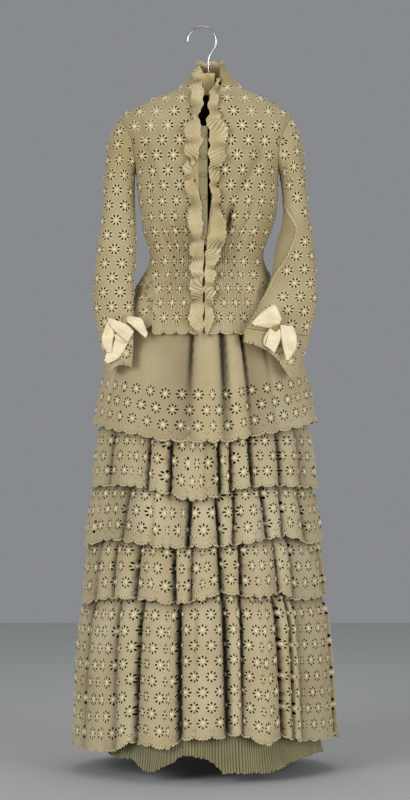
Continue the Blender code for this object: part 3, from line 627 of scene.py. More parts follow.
def link_mesh(name, points, faces, materials):
    """A smooth mesh object at the origin from points in millimetres."""
    mesh = bpy.data.meshes.new(name)
    mesh.from_pydata((np.asarray(points) * MM).tolist(), [], np.asarray(faces).tolist())
    mesh.shade_smooth()
    for material in materials:
        mesh.materials.append(material)
    return link_object(name, mesh)


def link_object(name, data):
    """An object of the scene with its data."""
    item = bpy.data.objects.new(name, data)
    bpy.context.scene.collection.objects.link(item)
    return item


def claim(item, node=None):
    """Say which body a piece rides on, and hide the solid that it stands for."""
    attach(item, "root")
    if node is not None:
        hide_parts(node)


def add_uv(mesh, name, corners):
    """A UV map from one pair of numbers for each face corner."""
    layer = mesh.uv_layers.new(name=name)
    layer.data.foreach_set("uv", np.asarray(corners, np.float32).ravel())


def add_shade(mesh, values):
    """A point attribute of painted shade, which darkens the colour in deep folds and other shaded places."""
    layer = mesh.attributes.new("shade", "FLOAT", "POINT")
    layer.data.foreach_set("value", np.asarray(values, np.float32))


def grid_faces(rows, columns, closed=False):
    """Faces of a grid of points, rows by columns, wound so that columns to +X face the front."""
    last = columns if closed else columns - 1
    row, column = np.meshgrid(np.arange(rows - 1), np.arange(last), indexing="ij")
    row, column = row.ravel() * columns, column.ravel()
    right = (column + 1) % columns
    return np.stack([row + column, row + columns + column, row + columns + right, row + right], axis=1)


def facing_out(points, faces):
    """Faces of a closed form turned outward: reversed where the volume they enclose counts as negative."""
    first, second, third, fourth = (points[faces[:, k]] - points.mean(axis=0) for k in range(4))
    volume = (np.cross(first, second) * third).sum() + (np.cross(first, third) * fourth).sum()
    return faces if volume > 0 else faces[:, ::-1]


def grid_piece(name, points, material, closed=False, shade=None, flip=False, uv=None):
    """A piece from a grid of points, with its UV map in metres along its columns and rows."""
    rows, columns = points.shape[:2]
    faces = grid_faces(rows, columns, closed)
    faces = faces[:, ::-1] if flip else faces
    faces = facing_out(points.reshape(-1, 3), faces) if closed else faces
    item = link_mesh(name, points.reshape(-1, 3), faces, [material])
    if uv is None:
        across, down = arc_lengths(points[rows // 2]), arc_lengths(points[:, columns // 2])
        uv = np.stack(np.meshgrid(across, down), axis=-1).reshape(-1, 2)
    add_uv(item.data, "cloth", uv.reshape(-1, 2)[faces.ravel()] * MM)
    add_shade(item.data, np.zeros(rows * columns) if shade is None else np.asarray(shade).ravel())
    return item


def merge_seam(item):
    """Join the points that meet along a tube's seam."""
    shell = bmesh.new()
    shell.from_mesh(item.data)
    bmesh.ops.remove_doubles(shell, verts=shell.verts, dist=0.00002)
    shell.to_mesh(item.data)
    shell.free()


def joined(parts):
    """Points, faces and slot numbers of one mesh made of parts, each its points, faces and slot."""
    points, faces, slots, at = [], [], [], 0
    for some, some_faces, slot in parts:
        points.append(some)
        faces.append(some_faces + at)
        slots.append(np.full(len(some_faces), slot))
        at += len(some)
    return np.concatenate(points), np.concatenate(faces), np.concatenate(slots).astype(np.int32)


def flower_domes(centres, surface, size, side_out):
    """Raised centres of the flowers: rings of points on the cloth's surface that close in a tip."""
    turn = np.arange(DOME_SIDES) * 2 * np.pi / DOME_SIDES
    circle = np.stack([np.cos(turn), np.sin(turn)], axis=1)
    rings = []
    for radius, height in DOME_RINGS:
        spots = (centres[:, None, :] + circle * radius * size).reshape(-1, 2)
        rings.append(lifted(surface, spots, side_out * (height + 0.15)).reshape(-1, DOME_SIDES, 3))
    tips = lifted(surface, centres, side_out * DOME_TIP)[:, None, :]
    domes = np.concatenate([*rings, tips], axis=1)
    side = np.arange(DOME_SIDES)
    after = (side + 1) % DOME_SIDES
    faces = []
    for low in range(0, (len(DOME_RINGS) - 1) * DOME_SIDES, DOME_SIDES):
        high = low + DOME_SIDES
        faces.append(np.stack([low + side, high + side, high + after], axis=1))
        faces.append(np.stack([low + side, high + after, low + after], axis=1))
    low = (len(DOME_RINGS) - 1) * DOME_SIDES
    faces.append(np.stack([low + side, np.full(DOME_SIDES, low + DOME_SIDES), low + after], axis=1))
    starts = np.arange(len(domes)) * domes.shape[1]
    return domes.reshape(-1, 3), (np.concatenate(faces)[None] + starts[:, None, None]).reshape(-1, 3)


def hem_band(hem, surface, side_out):
    """The raised stitching along a hem: a narrow band bent over the cloth's edge."""
    along = np.gradient(hem, axis=0)
    along /= np.maximum(np.linalg.norm(along, axis=1), 1e-9)[:, None]
    aside = np.stack([along[:, 1], -along[:, 0]], axis=1)
    rows = [lifted(surface, hem + aside * offset, side_out * height) for offset, height in HEM_PROFILE]
    faces = grid_faces(len(rows), len(hem))
    return np.stack(rows[::-1]).reshape(-1, 3), np.concatenate([faces[:, [0, 1, 2]], faces[:, [0, 2, 3]]])


def sew_sheet(name, cloth, shape, motif, materials, hem=None, mirrored=False):
    """One eyelet sheet with its embroidery: cloth with holes, raised flower centres and a stitched hem.

    Where u runs to the wearer's other hand the sheet is mirrored, and its outer face is the other one.
    """
    uv, side_out = cloth.points, -1.0 if mirrored else 1.0
    faces = cloth.faces if mirrored else cloth.faces[:, ::-1]
    item = link_mesh(name, shape.surface(uv[:, 0], uv[:, 1]), faces, materials[:1])
    corners = uv[faces]
    middle = corners.mean(axis=1)
    flower = np.full(corners.shape, NOWHERE)
    if len(cloth.flowers):
        index, away = nearest(middle, cloth.flowers)
        near = away < FLOWER_CLEAR * motif.size + 3
        flower[near] = (corners[near] - cloth.flowers[index[near]][:, None]) / motif.size
    if len(cloth.eyelets):
        index, away = nearest(middle, cloth.eyelets)
        near = away < 3.0
        flower[near] = corners[near] - cloth.eyelets[index[near]][:, None] + np.array([EYELET_CODE, 0.0])
    add_uv(item.data, "cloth", corners * MM)
    add_uv(item.data, "flower", flower)
    add_shade(item.data, shape.shade(uv[:, 0], uv[:, 1]))
    parts, extra = [], []
    if len(cloth.flowers):
        parts.append((*flower_domes(cloth.flowers, shape.surface, motif.size, side_out), 0))
    if hem is not None:
        parts.append((*hem_band(hem, shape.surface, side_out), 1))
    if parts:
        points, faces, slots = joined(parts)
        stitched = link_mesh(f"{name}_embroidery", points, faces[:, ::-1] if mirrored else faces, materials[1:])
        stitched.data.polygons.foreach_set("material_index", slots)
        claim(stitched)
        extra = [stitched]
    claim(item, name)
    return item, extra


def seeds_between(low, high, step_u, step_v):
    """Staggered inner points of a cloth between two corners."""
    u = np.arange(low[0] + step_u / 2, high[0], step_u)
    v = np.arange(low[1] + step_v / 2, high[1], step_v)
    grid = np.stack(np.meshgrid(u, v), axis=-1)
    grid[1::2, :, 0] += step_u / 2
    return grid.reshape(-1, 2)


def hidden_folds(count, depth, seed):
    """Folds round the sides and back that the front view hides, uneven in place, depth and width by rule."""
    folds = []
    for index in range(count):
        place = 76 + 208 * (index + 0.5) / count + 4 * math.sin(2.4 * index * index + seed)
        deep = depth * (0.7 + 0.3 * math.sin(1.7 * index + seed))
        folds.append(Fold(place, deep, 5 + 1.6 * math.cos(index + seed), 0.9, 0.9))
    return folds


def lobe_dip(folds, angle, radius):
    """How far a lobe falls back towards the folds beside it: nothing at its middle, most at its edges."""
    places = np.sort(np.mod([fold.angle for fold in folds if fold.depth > 7], 360))
    places = np.concatenate([[places[-1] - 360], places, [places[0] + 360]])
    at = np.mod(angle, 360)
    index = np.clip(np.searchsorted(places, at, side="right") - 1, 0, len(places) - 2)
    gap = places[index + 1] - places[index]
    share = np.clip((at - places[index]) / gap, 0, 1)
    wide = gap * radius * math.pi / 180
    return np.minimum(0.16 * wide, 10.0) * (1 - np.sin(np.pi * share) ** 0.8)


def fold_reach(folds, angle, share, radius):
    """Depth of a tier's folds at an angle, the sideways shift that narrows their mouths, and the painted shade in
    their troughs.
    """
    depth = np.zeros(np.broadcast(angle, share).shape)
    shift, dark = np.zeros_like(depth), np.zeros_like(depth)
    for index, fold in enumerate(folds):
        lean = 2.2 * math.sin(3.1 * index + len(folds)) * (share - 0.6)
        away = ((angle - fold.angle - lean + 180) % 360 - 180) * radius * math.pi / 180
        grow = fold.top + (fold.hem - fold.top) * share
        trough = 1 / (1 + (away / fold.width) ** 6)
        depth = depth + fold.depth * grow * trough
        near = np.exp(-((away / (2.0 * fold.width)) ** 2))
        shift = shift - 0.5 * fold.width * np.tanh(away / fold.width) * near * np.minimum(grow, 1)
        reach = np.clip((fold.depth * grow - 5) / 9, 0, 1)
        dark = np.maximum(dark, reach * np.clip(1.7 * trough - 0.12, 0, 1))
    return depth, shift, dark


def read_hem(table, angle):
    """Hem height at an angle round the skirt, smoothly between the table's rows."""
    wrapped = (np.asarray(angle, float) + 180) % 360 - 180
    return read_smooth([row.angle for row in table], [row.z for row in table], wrapped)


def slim(z):
    """How far the visible foundation stands inside its solid, which leaves the tiers' folds their room."""
    z = np.asarray(z, float)
    return -12.0 * np.clip((-z - 480) / 120, 0, 1) - 14.0 * np.clip((-z - 1150) / 200, 0, 1)


class TierShape:
    """One tier of the skirt as a surface of u round the cloth and v down it.

    It is a ring loft whose radius gives way to folds. The tier above presses its own folds into the top.
    """

    def __init__(self, tier, above):
        """Work out the fold list, the smooth rows and the angle at each length of cloth round the hem."""
        self.tier, self.above = tier, above
        self.folds = tier.folds + hidden_folds(tier.hidden, tier.depth, tier.seed)
        rows = list(tier.rows)
        if rows[0].z < tier.top:
            names = ("centre", "half", "front", "back")
            centre, *others = [float(read_table(FOUNDATION, tier.top, name)) for name in names]
            first = Section(tier.top, centre, *(value + 2.1 + float(slim(tier.top)) for value in others))
            rows = [first, *rows]
        self.rows = rows
        self.radius = (rows[-1].half + rows[-1].front) / 2
        chance = np.random.default_rng(tier.seed)
        self.waves = [(count, chance.uniform(0, 2 * math.pi)) for count in (7, 12, 19, 31)]
        angle = np.linspace(0, 360, 7201)
        level = self.place(angle, np.full(len(angle), 0.85))
        arc = arc_lengths(level)
        self.columns = int(round(arc[-1] / SKIRT_MOTIF.pitch))
        self.width = self.columns * SKIRT_MOTIF.pitch
        self.angle_table, self.arc_table = angle + 180, arc * self.width / arc[-1]
        self.length = float(np.hypot(tier.top - read_hem(tier.hem, 40), rows[-1].half - rows[0].half))

    def place(self, angle, share):
        """A point of the tier at an angle and a share of the way down."""
        hem = read_hem(self.tier.hem, angle)
        z = self.tier.top + (hem - self.tier.top) * share
        depth, shift, _dark = fold_reach(self.folds, angle, share, self.radius)
        depth = (depth + lobe_dip(self.folds, angle, self.radius)) * np.minimum(1, share * 4)
        for count, phase in self.waves:
            wave = 1 + np.sin(np.radians(count * angle) + phase + 1.5 * share)
            depth = depth + (9.0 / count) * share * wave
        depth = depth + 1.3 * np.exp(-share / 0.2) * (1 + np.sin(np.radians(angle * 96)))
        if self.above is not None:
            hem_above = read_hem(self.above.tier.hem, angle)
            pressed, _shift, _dark = fold_reach(self.above.folds, angle, 1.0, self.above.radius)
            depth = depth + pressed * 0.8 * np.clip((z - hem_above + 25) / 25, 0, 1)
        sideways = np.degrees(shift / self.radius)
        points = ring(self.rows, z, angle + sideways, SKIRT_ROUND)
        inner = ring(FOUNDATION, z, angle + sideways, SKIRT_ROUND, slim(z) + 1.2)
        room = np.hypot(points[..., 0] - inner[..., 0], points[..., 1] - inner[..., 1])
        depth = np.minimum(depth, np.maximum(room - 0.5, 0))
        return points + inward(angle) * depth[..., None]

    def surface(self, u, v):
        """Point at u along the cloth from the centre back and v down it."""
        angle = np.interp(np.mod(u, self.width), self.arc_table, self.angle_table)
        angle = np.where(u >= self.width, angle + 360, angle)
        return self.place(angle, v / self.length)

    def shade(self, u, v):
        """Painted shade at a place, from 0 on a crest to 1 at the bottom of a deep fold, with a painted shadow
        just under the tier above and darker sides on the lobes.
        """
        angle = np.interp(np.mod(u, self.width), self.arc_table, self.angle_table)
        share = v / self.length
        _depth, _shift, dark = fold_reach(self.folds, angle, share, self.radius)
        dip = lobe_dip(self.folds, angle, self.radius) / 8
        # Painted shadow just under the hem of the tier above.
        below = 0.0
        if self.above is not None:
            z = self.place(angle, share)[:, 2]
            below = 0.45 * np.exp(-np.maximum(read_hem(self.above.tier.hem, angle) - 6 - z, 0) / 7)
        # Painted shade on the lobes' sides, which turn away from the light.
        return np.clip(np.maximum(dark, below) + 0.38 * dip ** 1.3, 0, 1)


def tier_outline(shape):
    """Flat outline of a tier: straight seams and top, and a scalloped hem."""
    pitch = SKIRT_MOTIF.pitch
    down = np.linspace(0, shape.length, max(6, int(shape.length / 9)))
    hem_u = np.linspace(0, shape.width, shape.columns * LOBES * LOBE_STEPS + 1)
    hem_v = shape.length - SCALLOP_DEPTH + scallop(hem_u, pitch)
    top_u = np.linspace(shape.width, 0, int(shape.width / 6) + 1)
    left = np.stack([0 * down, down], axis=1)[:-1]
    left = left[left[:, 1] < hem_v[0] - 1]
    hem = np.stack([hem_u, hem_v], axis=1)
    right = np.stack([0 * down + shape.width, down], axis=1)[::-1]
    right = right[(right[:, 1] < hem_v[0] - 1) & (right[:, 1] > 0)]
    top = np.stack([top_u, 0 * top_u], axis=1)[:-1]
    return np.concatenate([left, hem, right, top]), hem


def make_foundation(material):
    """The plain skirt under the tiers: a loft through its rows, drawn in under the folds. Its nearly black colour
    is painted shade, so that holes and folds over it read dark.
    """
    z = np.linspace(-441, -1390, 40)[:, None]
    angle = np.arange(96) * 360 / 96
    grid = ring(FOUNDATION, z, angle[None, :], SKIRT_ROUND, slim(z) - 0.3)
    item = grid_piece("foundation_cloth", grid, material, closed=True)
    claim(item, "foundation_skirt")


def make_tier(shape, materials):
    """Cut, shape and dress one tier."""
    tier, motif = shape.tier, SKIRT_MOTIF
    outline, hem = tier_outline(shape)
    low, high = (0.0, 0.0), (shape.width, shape.length)
    start = (motif.pitch / 2, shape.length - FIRST_ROW)
    flowers = flower_centres(motif, low, high, start, tier.flower_rows)
    flowers = flowers[(flowers[:, 0] > 14) & (flowers[:, 0] < shape.width - 14) & (flowers[:, 1] > 14)]
    eyelets = border_eyelets(shape.width, motif.pitch, shape.length - SCALLOP_DEPTH)
    seeds = seeds_between(low, high, 5.0, 11.0)
    cloth = cut_cloth(outline, flowers, motif, eyelets, seeds)
    item, extra = sew_sheet(tier.name, cloth, shape, motif, materials, hem)
    merge_seam(item)


BODICE_Z = np.linspace(-108, -612, 169)
HALF_TURN = np.linspace(0, 180, 361)
BODY_ARCS = ArcRings(
    -BODICE_Z, HALF_TURN, bodice(np.broadcast_to(BODICE_Z[:, None], (169, 361)), HALF_TURN[None, :])
)


def down_arc(column):
    """Length of cloth down the bodice's front or back at each height of BODICE_Z."""
    depth = read_table(BODICE, BODICE_Z, column)
    return np.concatenate([[0], np.cumsum(np.hypot(np.diff(BODICE_Z), np.diff(depth)))])


FRONT_DOWN = down_arc("front")
BACK_DOWN = down_arc("back")


def armhole_edge(z, column):
    """Angle from the centre front, or the centre back, to the armhole's edge at a height."""
    cosine = np.clip((z - ARMHOLE_Z) / ARMHOLE_HEIGHT, -1, 1)
    depth = read_table(BODICE, z, column)
    share = ARMHOLE_WIDTH * np.sqrt(1 - cosine ** 2) / depth
    return np.degrees(np.arccos(share ** (1 / BODY_ROUND)))


def edge_angle(z, column):
    """Angle of the outer edge of a front or the back: the shoulder, then the armhole, then the side seam."""
    above, beside = z > ARMHOLE_Z + ARMHOLE_HEIGHT, z > ARMHOLE_Z - ARMHOLE_HEIGHT
    armhole = armhole_edge(z, "front") if column == "front" else 180 - armhole_edge(z, "back")
    return np.where(above, 90.0, np.where(beside, armhole, read_straight(SIDE_SEAM, z, "angle")))

class FrontShape:
    """One front of the bodice as a surface of u from its opening edge and v down it.

    Cloth near the edge is gathered at the waist, so u runs slower there and small pleats stand up.
    """

    def __init__(self, sign):
        """Keep the side and its tables."""
        self.sign = sign
        self.edges = FRONT_EDGE_RIGHT if sign > 0 else FRONT_EDGE_LEFT
        self.creases = SHOULDER_CREASES_RIGHT if sign > 0 else SHOULDER_CREASES_LEFT

    def ratio(self, z):
        """How many times wider the cloth is than the space it is gathered into."""
        return read_straight(GATHER_RATIO, z, "x")

    def squeeze(self, u, z):
        """Arc length that a width of cloth takes once it is gathered."""
        ratio = self.ratio(z)
        middle = np.clip(u - GATHER_START, 0, GATHER_WIDTH)
        return np.minimum(u, GATHER_START) + middle / ratio + np.maximum(u - GATHER_START - GATHER_WIDTH, 0)

    def spread(self, arc, z):
        """Width of cloth that fills an arc length: the inverse of squeeze."""
        ratio = self.ratio(z)
        taken = GATHER_WIDTH / ratio
        middle = np.clip(arc - GATHER_START, 0, taken)
        return np.minimum(arc, GATHER_START) + middle * ratio + np.maximum(arc - GATHER_START - taken, 0)

    def edge_arc(self, z):
        """Arc from the ring's own centre to the opening edge."""
        return self.sign * (read_straight(self.edges, z, "x") - read_table(BODICE, z, "centre"))

    def surface(self, u, v):
        """Point at u from the opening edge and v down the front."""
        z = np.interp(v, FRONT_DOWN, BODICE_Z)
        arc = self.edge_arc(z) + self.squeeze(u, z)
        angle = self.sign * BODY_ARCS.angle(-z, arc)
        points = bodice(z, angle)
        edge = np.clip((GATHER_START + GATHER_WIDTH - u) / 30, 0, 1)
        gathered = np.clip((u - GATHER_START + 6) / 12, 0, 1) * edge
        pleat = np.sin(2 * np.pi * u / 10.5 + 1.3 * np.sin(v / 23)) - 0.6
        depth = gathered * (self.ratio(z) - 1) * 1.9 * (1 - pleat)
        depth = depth + crease_depth(points[:, 0], points[:, 2], self.creases)
        return points + inward(angle) * depth[:, None]

    def shade(self, u, v):
        """Painted shade in the deep creases and between the gathers."""
        points = self.surface(u, v)
        z = points[:, 2]
        deep = np.clip((crease_depth(points[:, 0], z, self.creases) - 3.5) / 7, 0, 1)
        edge = np.clip((GATHER_START + GATHER_WIDTH - u) / 30, 0, 1)
        gathered = np.clip((u - GATHER_START) / 12, 0, 1) * edge
        pleat = 0.5 - 0.5 * np.sin(2 * np.pi * u / 10.5 + 1.3 * np.sin(v / 23))
        return np.clip(deep + 0.22 * gathered * (self.ratio(z) - 1) * pleat, 0, 1)

    def outline(self):
        """Flat outline of the front, and its scalloped hem."""
        z = np.linspace(-108, FRONT_HEM, 76)
        v = np.interp(-z, -BODICE_Z, FRONT_DOWN)
        u = self.spread(BODY_ARCS.arc(-z, edge_angle(z, "front")) - self.edge_arc(z), z)
        side = np.stack([u, v], axis=1)
        count = int(round(u[-1] / BODY_MOTIF.pitch))
        pitch = u[-1] / count
        hem_u = np.linspace(0, u[-1], count * LOBES * LOBE_STEPS + 1)
        hem = np.stack([hem_u, v[-1] + scallop(hem_u, pitch)], axis=1)
        front = np.stack([0 * v, v], axis=1)[:-1]
        neck_u = np.linspace(u[0], 0, max(3, int(u[0] / 6)))
        neck = np.stack([neck_u, 0 * neck_u], axis=1)
        outline = np.concatenate([front, hem, side[::-1][1:], neck[1:-1]])
        return outline, hem, pitch


class BackShape:
    """The bodice's back as a surface of u from the centre back and v down it."""

    def surface(self, u, v):
        """Point at u from the centre back, towards +X, and v down the back."""
        z = np.interp(v, BACK_DOWN, BODICE_Z)
        arc = BODY_ARCS.length(-z) - np.abs(u)
        angle = BODY_ARCS.angle(-z, arc)
        points = bodice(z, np.where(u < 0, -angle, angle))
        flare = np.clip((-470 - z) / 130, 0, 1)
        depth = 4.5 * flare * (1 + np.sin(u / 14.0 + 0.4))
        away = points[:, :2] - np.stack([np.full(len(z), 9.0), 0 * z], axis=1)
        away /= np.maximum(np.linalg.norm(away, axis=1), 1e-9)[:, None]
        points[:, :2] -= away * depth[:, None]
        return points

    def shade(self, u, v):
        """The back's folds are shallow, so nothing is darkened."""
        return 0 * u

    def outline(self):
        """Flat outline of the back, and its scalloped hem."""
        z = np.linspace(-108, SIDE_HEM, 76)
        v = np.interp(-z, -BODICE_Z, BACK_DOWN)
        u = BODY_ARCS.length(-z) - BODY_ARCS.arc(-z, edge_angle(z, "back"))
        count = int(round(2 * u[-1] / BODY_MOTIF.pitch))
        pitch = 2 * u[-1] / count
        hem_u = np.linspace(-u[-1], u[-1], count * LOBES * LOBE_STEPS + 1)
        low = float(np.interp(-BACK_HEM, -BODICE_Z, BACK_DOWN)) - v[-1]
        hem_v = v[-1] + low * np.cos(np.pi * hem_u / (2 * u[-1])) + scallop(hem_u + u[-1], pitch)
        hem = np.stack([hem_u, hem_v], axis=1)
        left = np.stack([-u, v], axis=1)[:-1]
        right = np.stack([u, v], axis=1)[::-1][1:]
        neck_u = np.linspace(u[0], -u[0], max(3, int(2 * u[0] / 6)))
        neck = np.stack([neck_u, 0 * neck_u], axis=1)[1:-1]
        return np.concatenate([left, hem, right, neck]), hem


def make_front(sign, name, materials):
    """Cut, shape and dress one front. Its rows of flowers lean out towards the shoulder."""
    shape = FrontShape(sign)
    outline, hem, pitch = shape.outline()
    low, high = outline.min(axis=0), outline.max(axis=0)
    start = (30.0, float(np.interp(-FRONT_HEM, -BODICE_Z, FRONT_DOWN)) - 24)
    spare = np.array([120.0, 120.0])
    flowers = flower_centres(BODY_MOTIF, low - spare, high + spare, start)
    lean = np.radians(10.0) * np.clip((360 - flowers[:, 1]) / 120, 0, 1)
    flowers[:, 0] += np.tan(lean) * (360 - flowers[:, 1])
    flowers = flowers[flowers[:, 1] < start[1] + 6]
    flowers = flowers[np.all((flowers > low - 12) & (flowers < high + 12), axis=1)]
    eyelets = border_eyelets(hem[-1, 0], pitch, hem[0, 1])
    gather_end = GATHER_START + GATHER_WIDTH
    waist = seeds_between((GATHER_START - 6, 230.0), (gather_end, high[1]), 2.6, 9.0)
    rest = seeds_between(low, high, 6.0, 8.0)
    outside = (rest[:, 0] < GATHER_START - 6) | (rest[:, 0] > gather_end) | (rest[:, 1] < 230)
    cloth = cut_cloth(outline, flowers, BODY_MOTIF, eyelets, np.concatenate([waist, rest[outside]]))
    item, extra = sew_sheet(name, cloth, shape, BODY_MOTIF, materials, hem, sign < 0)


def make_back(materials):
    """Cut, shape and dress the back."""
    shape = BackShape()
    outline, hem = shape.outline()
    low, high = outline.min(axis=0), outline.max(axis=0)
    start = (0.0, high[1] - 34)
    flowers = flower_centres(BODY_MOTIF, low, high, start)
    flowers = flowers[flowers[:, 1] < start[1] + 6 - 12 * (np.abs(flowers[:, 0]) / high[0]) ** 2]
    seeds = seeds_between(low, high, 6.5, 9.0)
    cloth = cut_cloth(outline, flowers, BODY_MOTIF, np.zeros((0, 2)), seeds)
    item, extra = sew_sheet("bodice_back", cloth, shape, BODY_MOTIF, materials, hem, True)


def armhole_points(sign, turn):
    """The armhole's edge round the bodice: turn 0 at the shoulder, a quarter turn at the front."""
    turn = np.mod(turn, 2 * np.pi)
    back = turn > np.pi
    z = ARMHOLE_Z + ARMHOLE_HEIGHT * np.cos(turn)
    front_angle, back_angle = armhole_edge(z, "front"), 180 - armhole_edge(z, "back")
    points = bodice(z, sign * np.where(back, back_angle, front_angle))
    points[..., 0] += sign * 0.6
    return points


class SleeveShape:
    """A sleeve or cuff as a surface of u round it, from its front line, and v down it.

    Rings run between an outer and an inner point, bowed by a depth, and are joined smoothly down the arm.
    A sleeve is measured up from its level wrist, and a cuff down from its level top.
    """

    def __init__(self, sign, table, armhole=True, flutes=0, tip=0.0):
        """Keep the stations and work out lengths down and round."""
        self.sign, self.table, self.armhole = sign, table, armhole
        self.flutes, self.tip, self.middle = flutes, tip, 90.0
        self.last = len(table) + armhole - 1.0
        fine = np.linspace(0, self.last, 81)
        turns = np.radians(np.linspace(0, 360, 73))
        turn, row = np.meshgrid(turns, fine, indexing="ij")
        self.lines = ArcRings(turns, fine, self.place(turn.ravel(), row.ravel()).reshape(73, 81, 3))
        angles = np.linspace(0, 180, 121)
        turn, rows = np.meshgrid(np.radians(angles), fine)
        start = math.radians(self.middle)
        ahead = self.place((start + turn).ravel(), rows.ravel()).reshape(81, 121, 3)
        behind = self.place((start - turn).ravel(), rows.ravel()).reshape(81, 121, 3)
        self.ahead, self.behind = ArcRings(fine, angles, ahead), ArcRings(fine, angles, behind)
        self.length = float(self.lines.total.max())

    def place(self, turn, station):
        """Point at a turn round the arm and a station down it, by a smooth curve through the stations."""
        rings = [armhole_points(self.sign, turn)] if self.armhole else []
        for row in self.table:
            outer = np.array([row.outer_x, row.outer_y, row.outer_z], float)
            inner = np.array([row.inner_x, row.inner_y, row.inner_z], float)
            points = (outer + inner) / 2 + np.cos(turn)[:, None] * (outer - inner) / 2
            points[:, 1] -= row.depth * np.sin(turn)
            rings.append(points)
        rings = np.array(rings)
        last = len(rings) - 1
        index = np.clip(station.astype(int), 0, last - 1)
        s = (station - index)[:, None]
        pick = np.arange(len(turn))
        before, start = rings[np.maximum(index - 1, 0), pick], rings[index, pick]
        end, after = rings[index + 1, pick], rings[np.minimum(index + 2, last), pick]
        points = hermite(start, end, (end - before) / 2, (after - start) / 2, s)
        if self.flutes:
            grow = station / last
            points[:, 1] -= 3 * grow * np.cos(self.flutes * turn) * np.sign(np.sin(turn))
            points[:, 2] -= self.tip * grow * np.exp(-((np.abs(np.sin(turn / 2)) - 0.4) / 0.25) ** 2)
        return points

    def turn_of(self, u, station):
        """Turn round the arm at a place along the cloth and a station."""
        ahead = self.ahead.angle(station, np.maximum(u, 0))
        behind = self.behind.angle(station, np.maximum(-u, 0))
        return np.radians(self.middle + ahead - behind)

    def turn_at(self, u, v):
        """Turn round the arm and station down it at a place on the cloth, by three rounds of correction."""
        station = np.clip(v / self.length, 0, 1) * self.last
        for _round in range(3):
            turn = self.turn_of(u, station)
            around = np.mod(turn, 2 * np.pi)
            whole = self.lines.length(around)
            run = whole - (self.length - v) if self.armhole else v
            station = self.lines.angle(around, np.clip(run, 0.01, whole))
        return turn, station

    def surface(self, u, v):
        """Point at u from the front line and v down the arm, with the sleeve's creases pressed in."""
        turn, station = self.turn_at(u, v)
        points = self.place(turn, station)
        depth = crease_depth(points[:, 0], points[:, 2], SLEEVE_CREASES)
        points[:, 1] += depth * np.sign(np.sin(turn)) * np.abs(np.sin(turn))
        return points

    def shade(self, u, v):
        """Sleeves are evenly lit, so nothing is darkened."""
        return 0 * u

    def end_curve(self, station, count):
        """The flat cloth's edge at one end: places along it and their v."""
        stations = np.full(count, float(station))
        right, left = self.ahead.length(station), -self.behind.length(station)
        u = np.linspace(left, right, count)
        whole = self.lines.length(np.mod(self.turn_of(u, stations), 2 * np.pi))
        if self.armhole:
            return u, self.length - whole if station == 0 else np.full(count, self.length)
        return u, whole if station > 0 else 0 * u

    def seam_curve(self, side, count):
        """The flat cloth's edge along the arm's back seam."""
        seam = math.radians(270)
        whole = float(self.lines.length(seam))
        run = np.linspace(0, whole, count)
        station = self.lines.angle(np.full(count, seam), run)
        u = self.ahead.length(station) if side > 0 else -self.behind.length(station)
        v = run + (self.length - whole) if self.armhole else run
        return np.stack([u, v], axis=1)

    def flat_place(self, turn, z):
        """Flat place of a point given by its turn in degrees and its height."""
        radians = math.radians(turn)
        fine = self.lines.angles
        line = self.place(np.full(len(fine), radians), fine)
        station = float(np.interp(-z, -line[:, 2], fine))
        whole = float(self.lines.length(radians))
        run = float(self.lines.arc([radians], [station])[0])
        if turn >= self.middle:
            u = float(self.ahead.arc([station], [turn - self.middle])[0])
        else:
            u = -float(self.behind.arc([station], [self.middle - turn])[0])
        return u, run + (self.length - whole if self.armhole else 0.0)


def spline(points, count, closed=False):
    """Catmull-Rom curve through points, read at even shares from the first to the last."""
    points = np.asarray(points, float)
    if closed:
        points = np.concatenate([points, points[:1]])
    last = len(points) - 1
    share = np.linspace(0, last, count)
    index = np.clip(share.astype(int), 0, last - 1)
    s = (share - index)[:, None]
    before = points[(index - 1) % last] if closed else points[np.maximum(index - 1, 0)]
    after = points[(index + 2) % last] if closed else points[np.minimum(index + 2, last)]
    start, end = points[index], points[index + 1]
    return hermite(start, end, (end - before) / 2, (after - start) / 2, s)


def even_loop(points, step):
    """A closed curve with its points about a step apart."""
    points = np.concatenate([points, points[:1]])
    run = arc_lengths(points)
    count = int(round(run[-1] / step))
    at = np.arange(count) * run[-1] / count
    return np.stack([np.interp(at, run, points[:, axis]) for axis in (0, 1)], axis=1)


def loop_normal(loop):
    """Unit normals of a closed flat curve, to one side."""
    along = np.roll(loop, -1, axis=0) - np.roll(loop, 1, axis=0)
    along /= np.linalg.norm(along, axis=1)[:, None]
    return np.stack([along[:, 1], -along[:, 0]], axis=1)


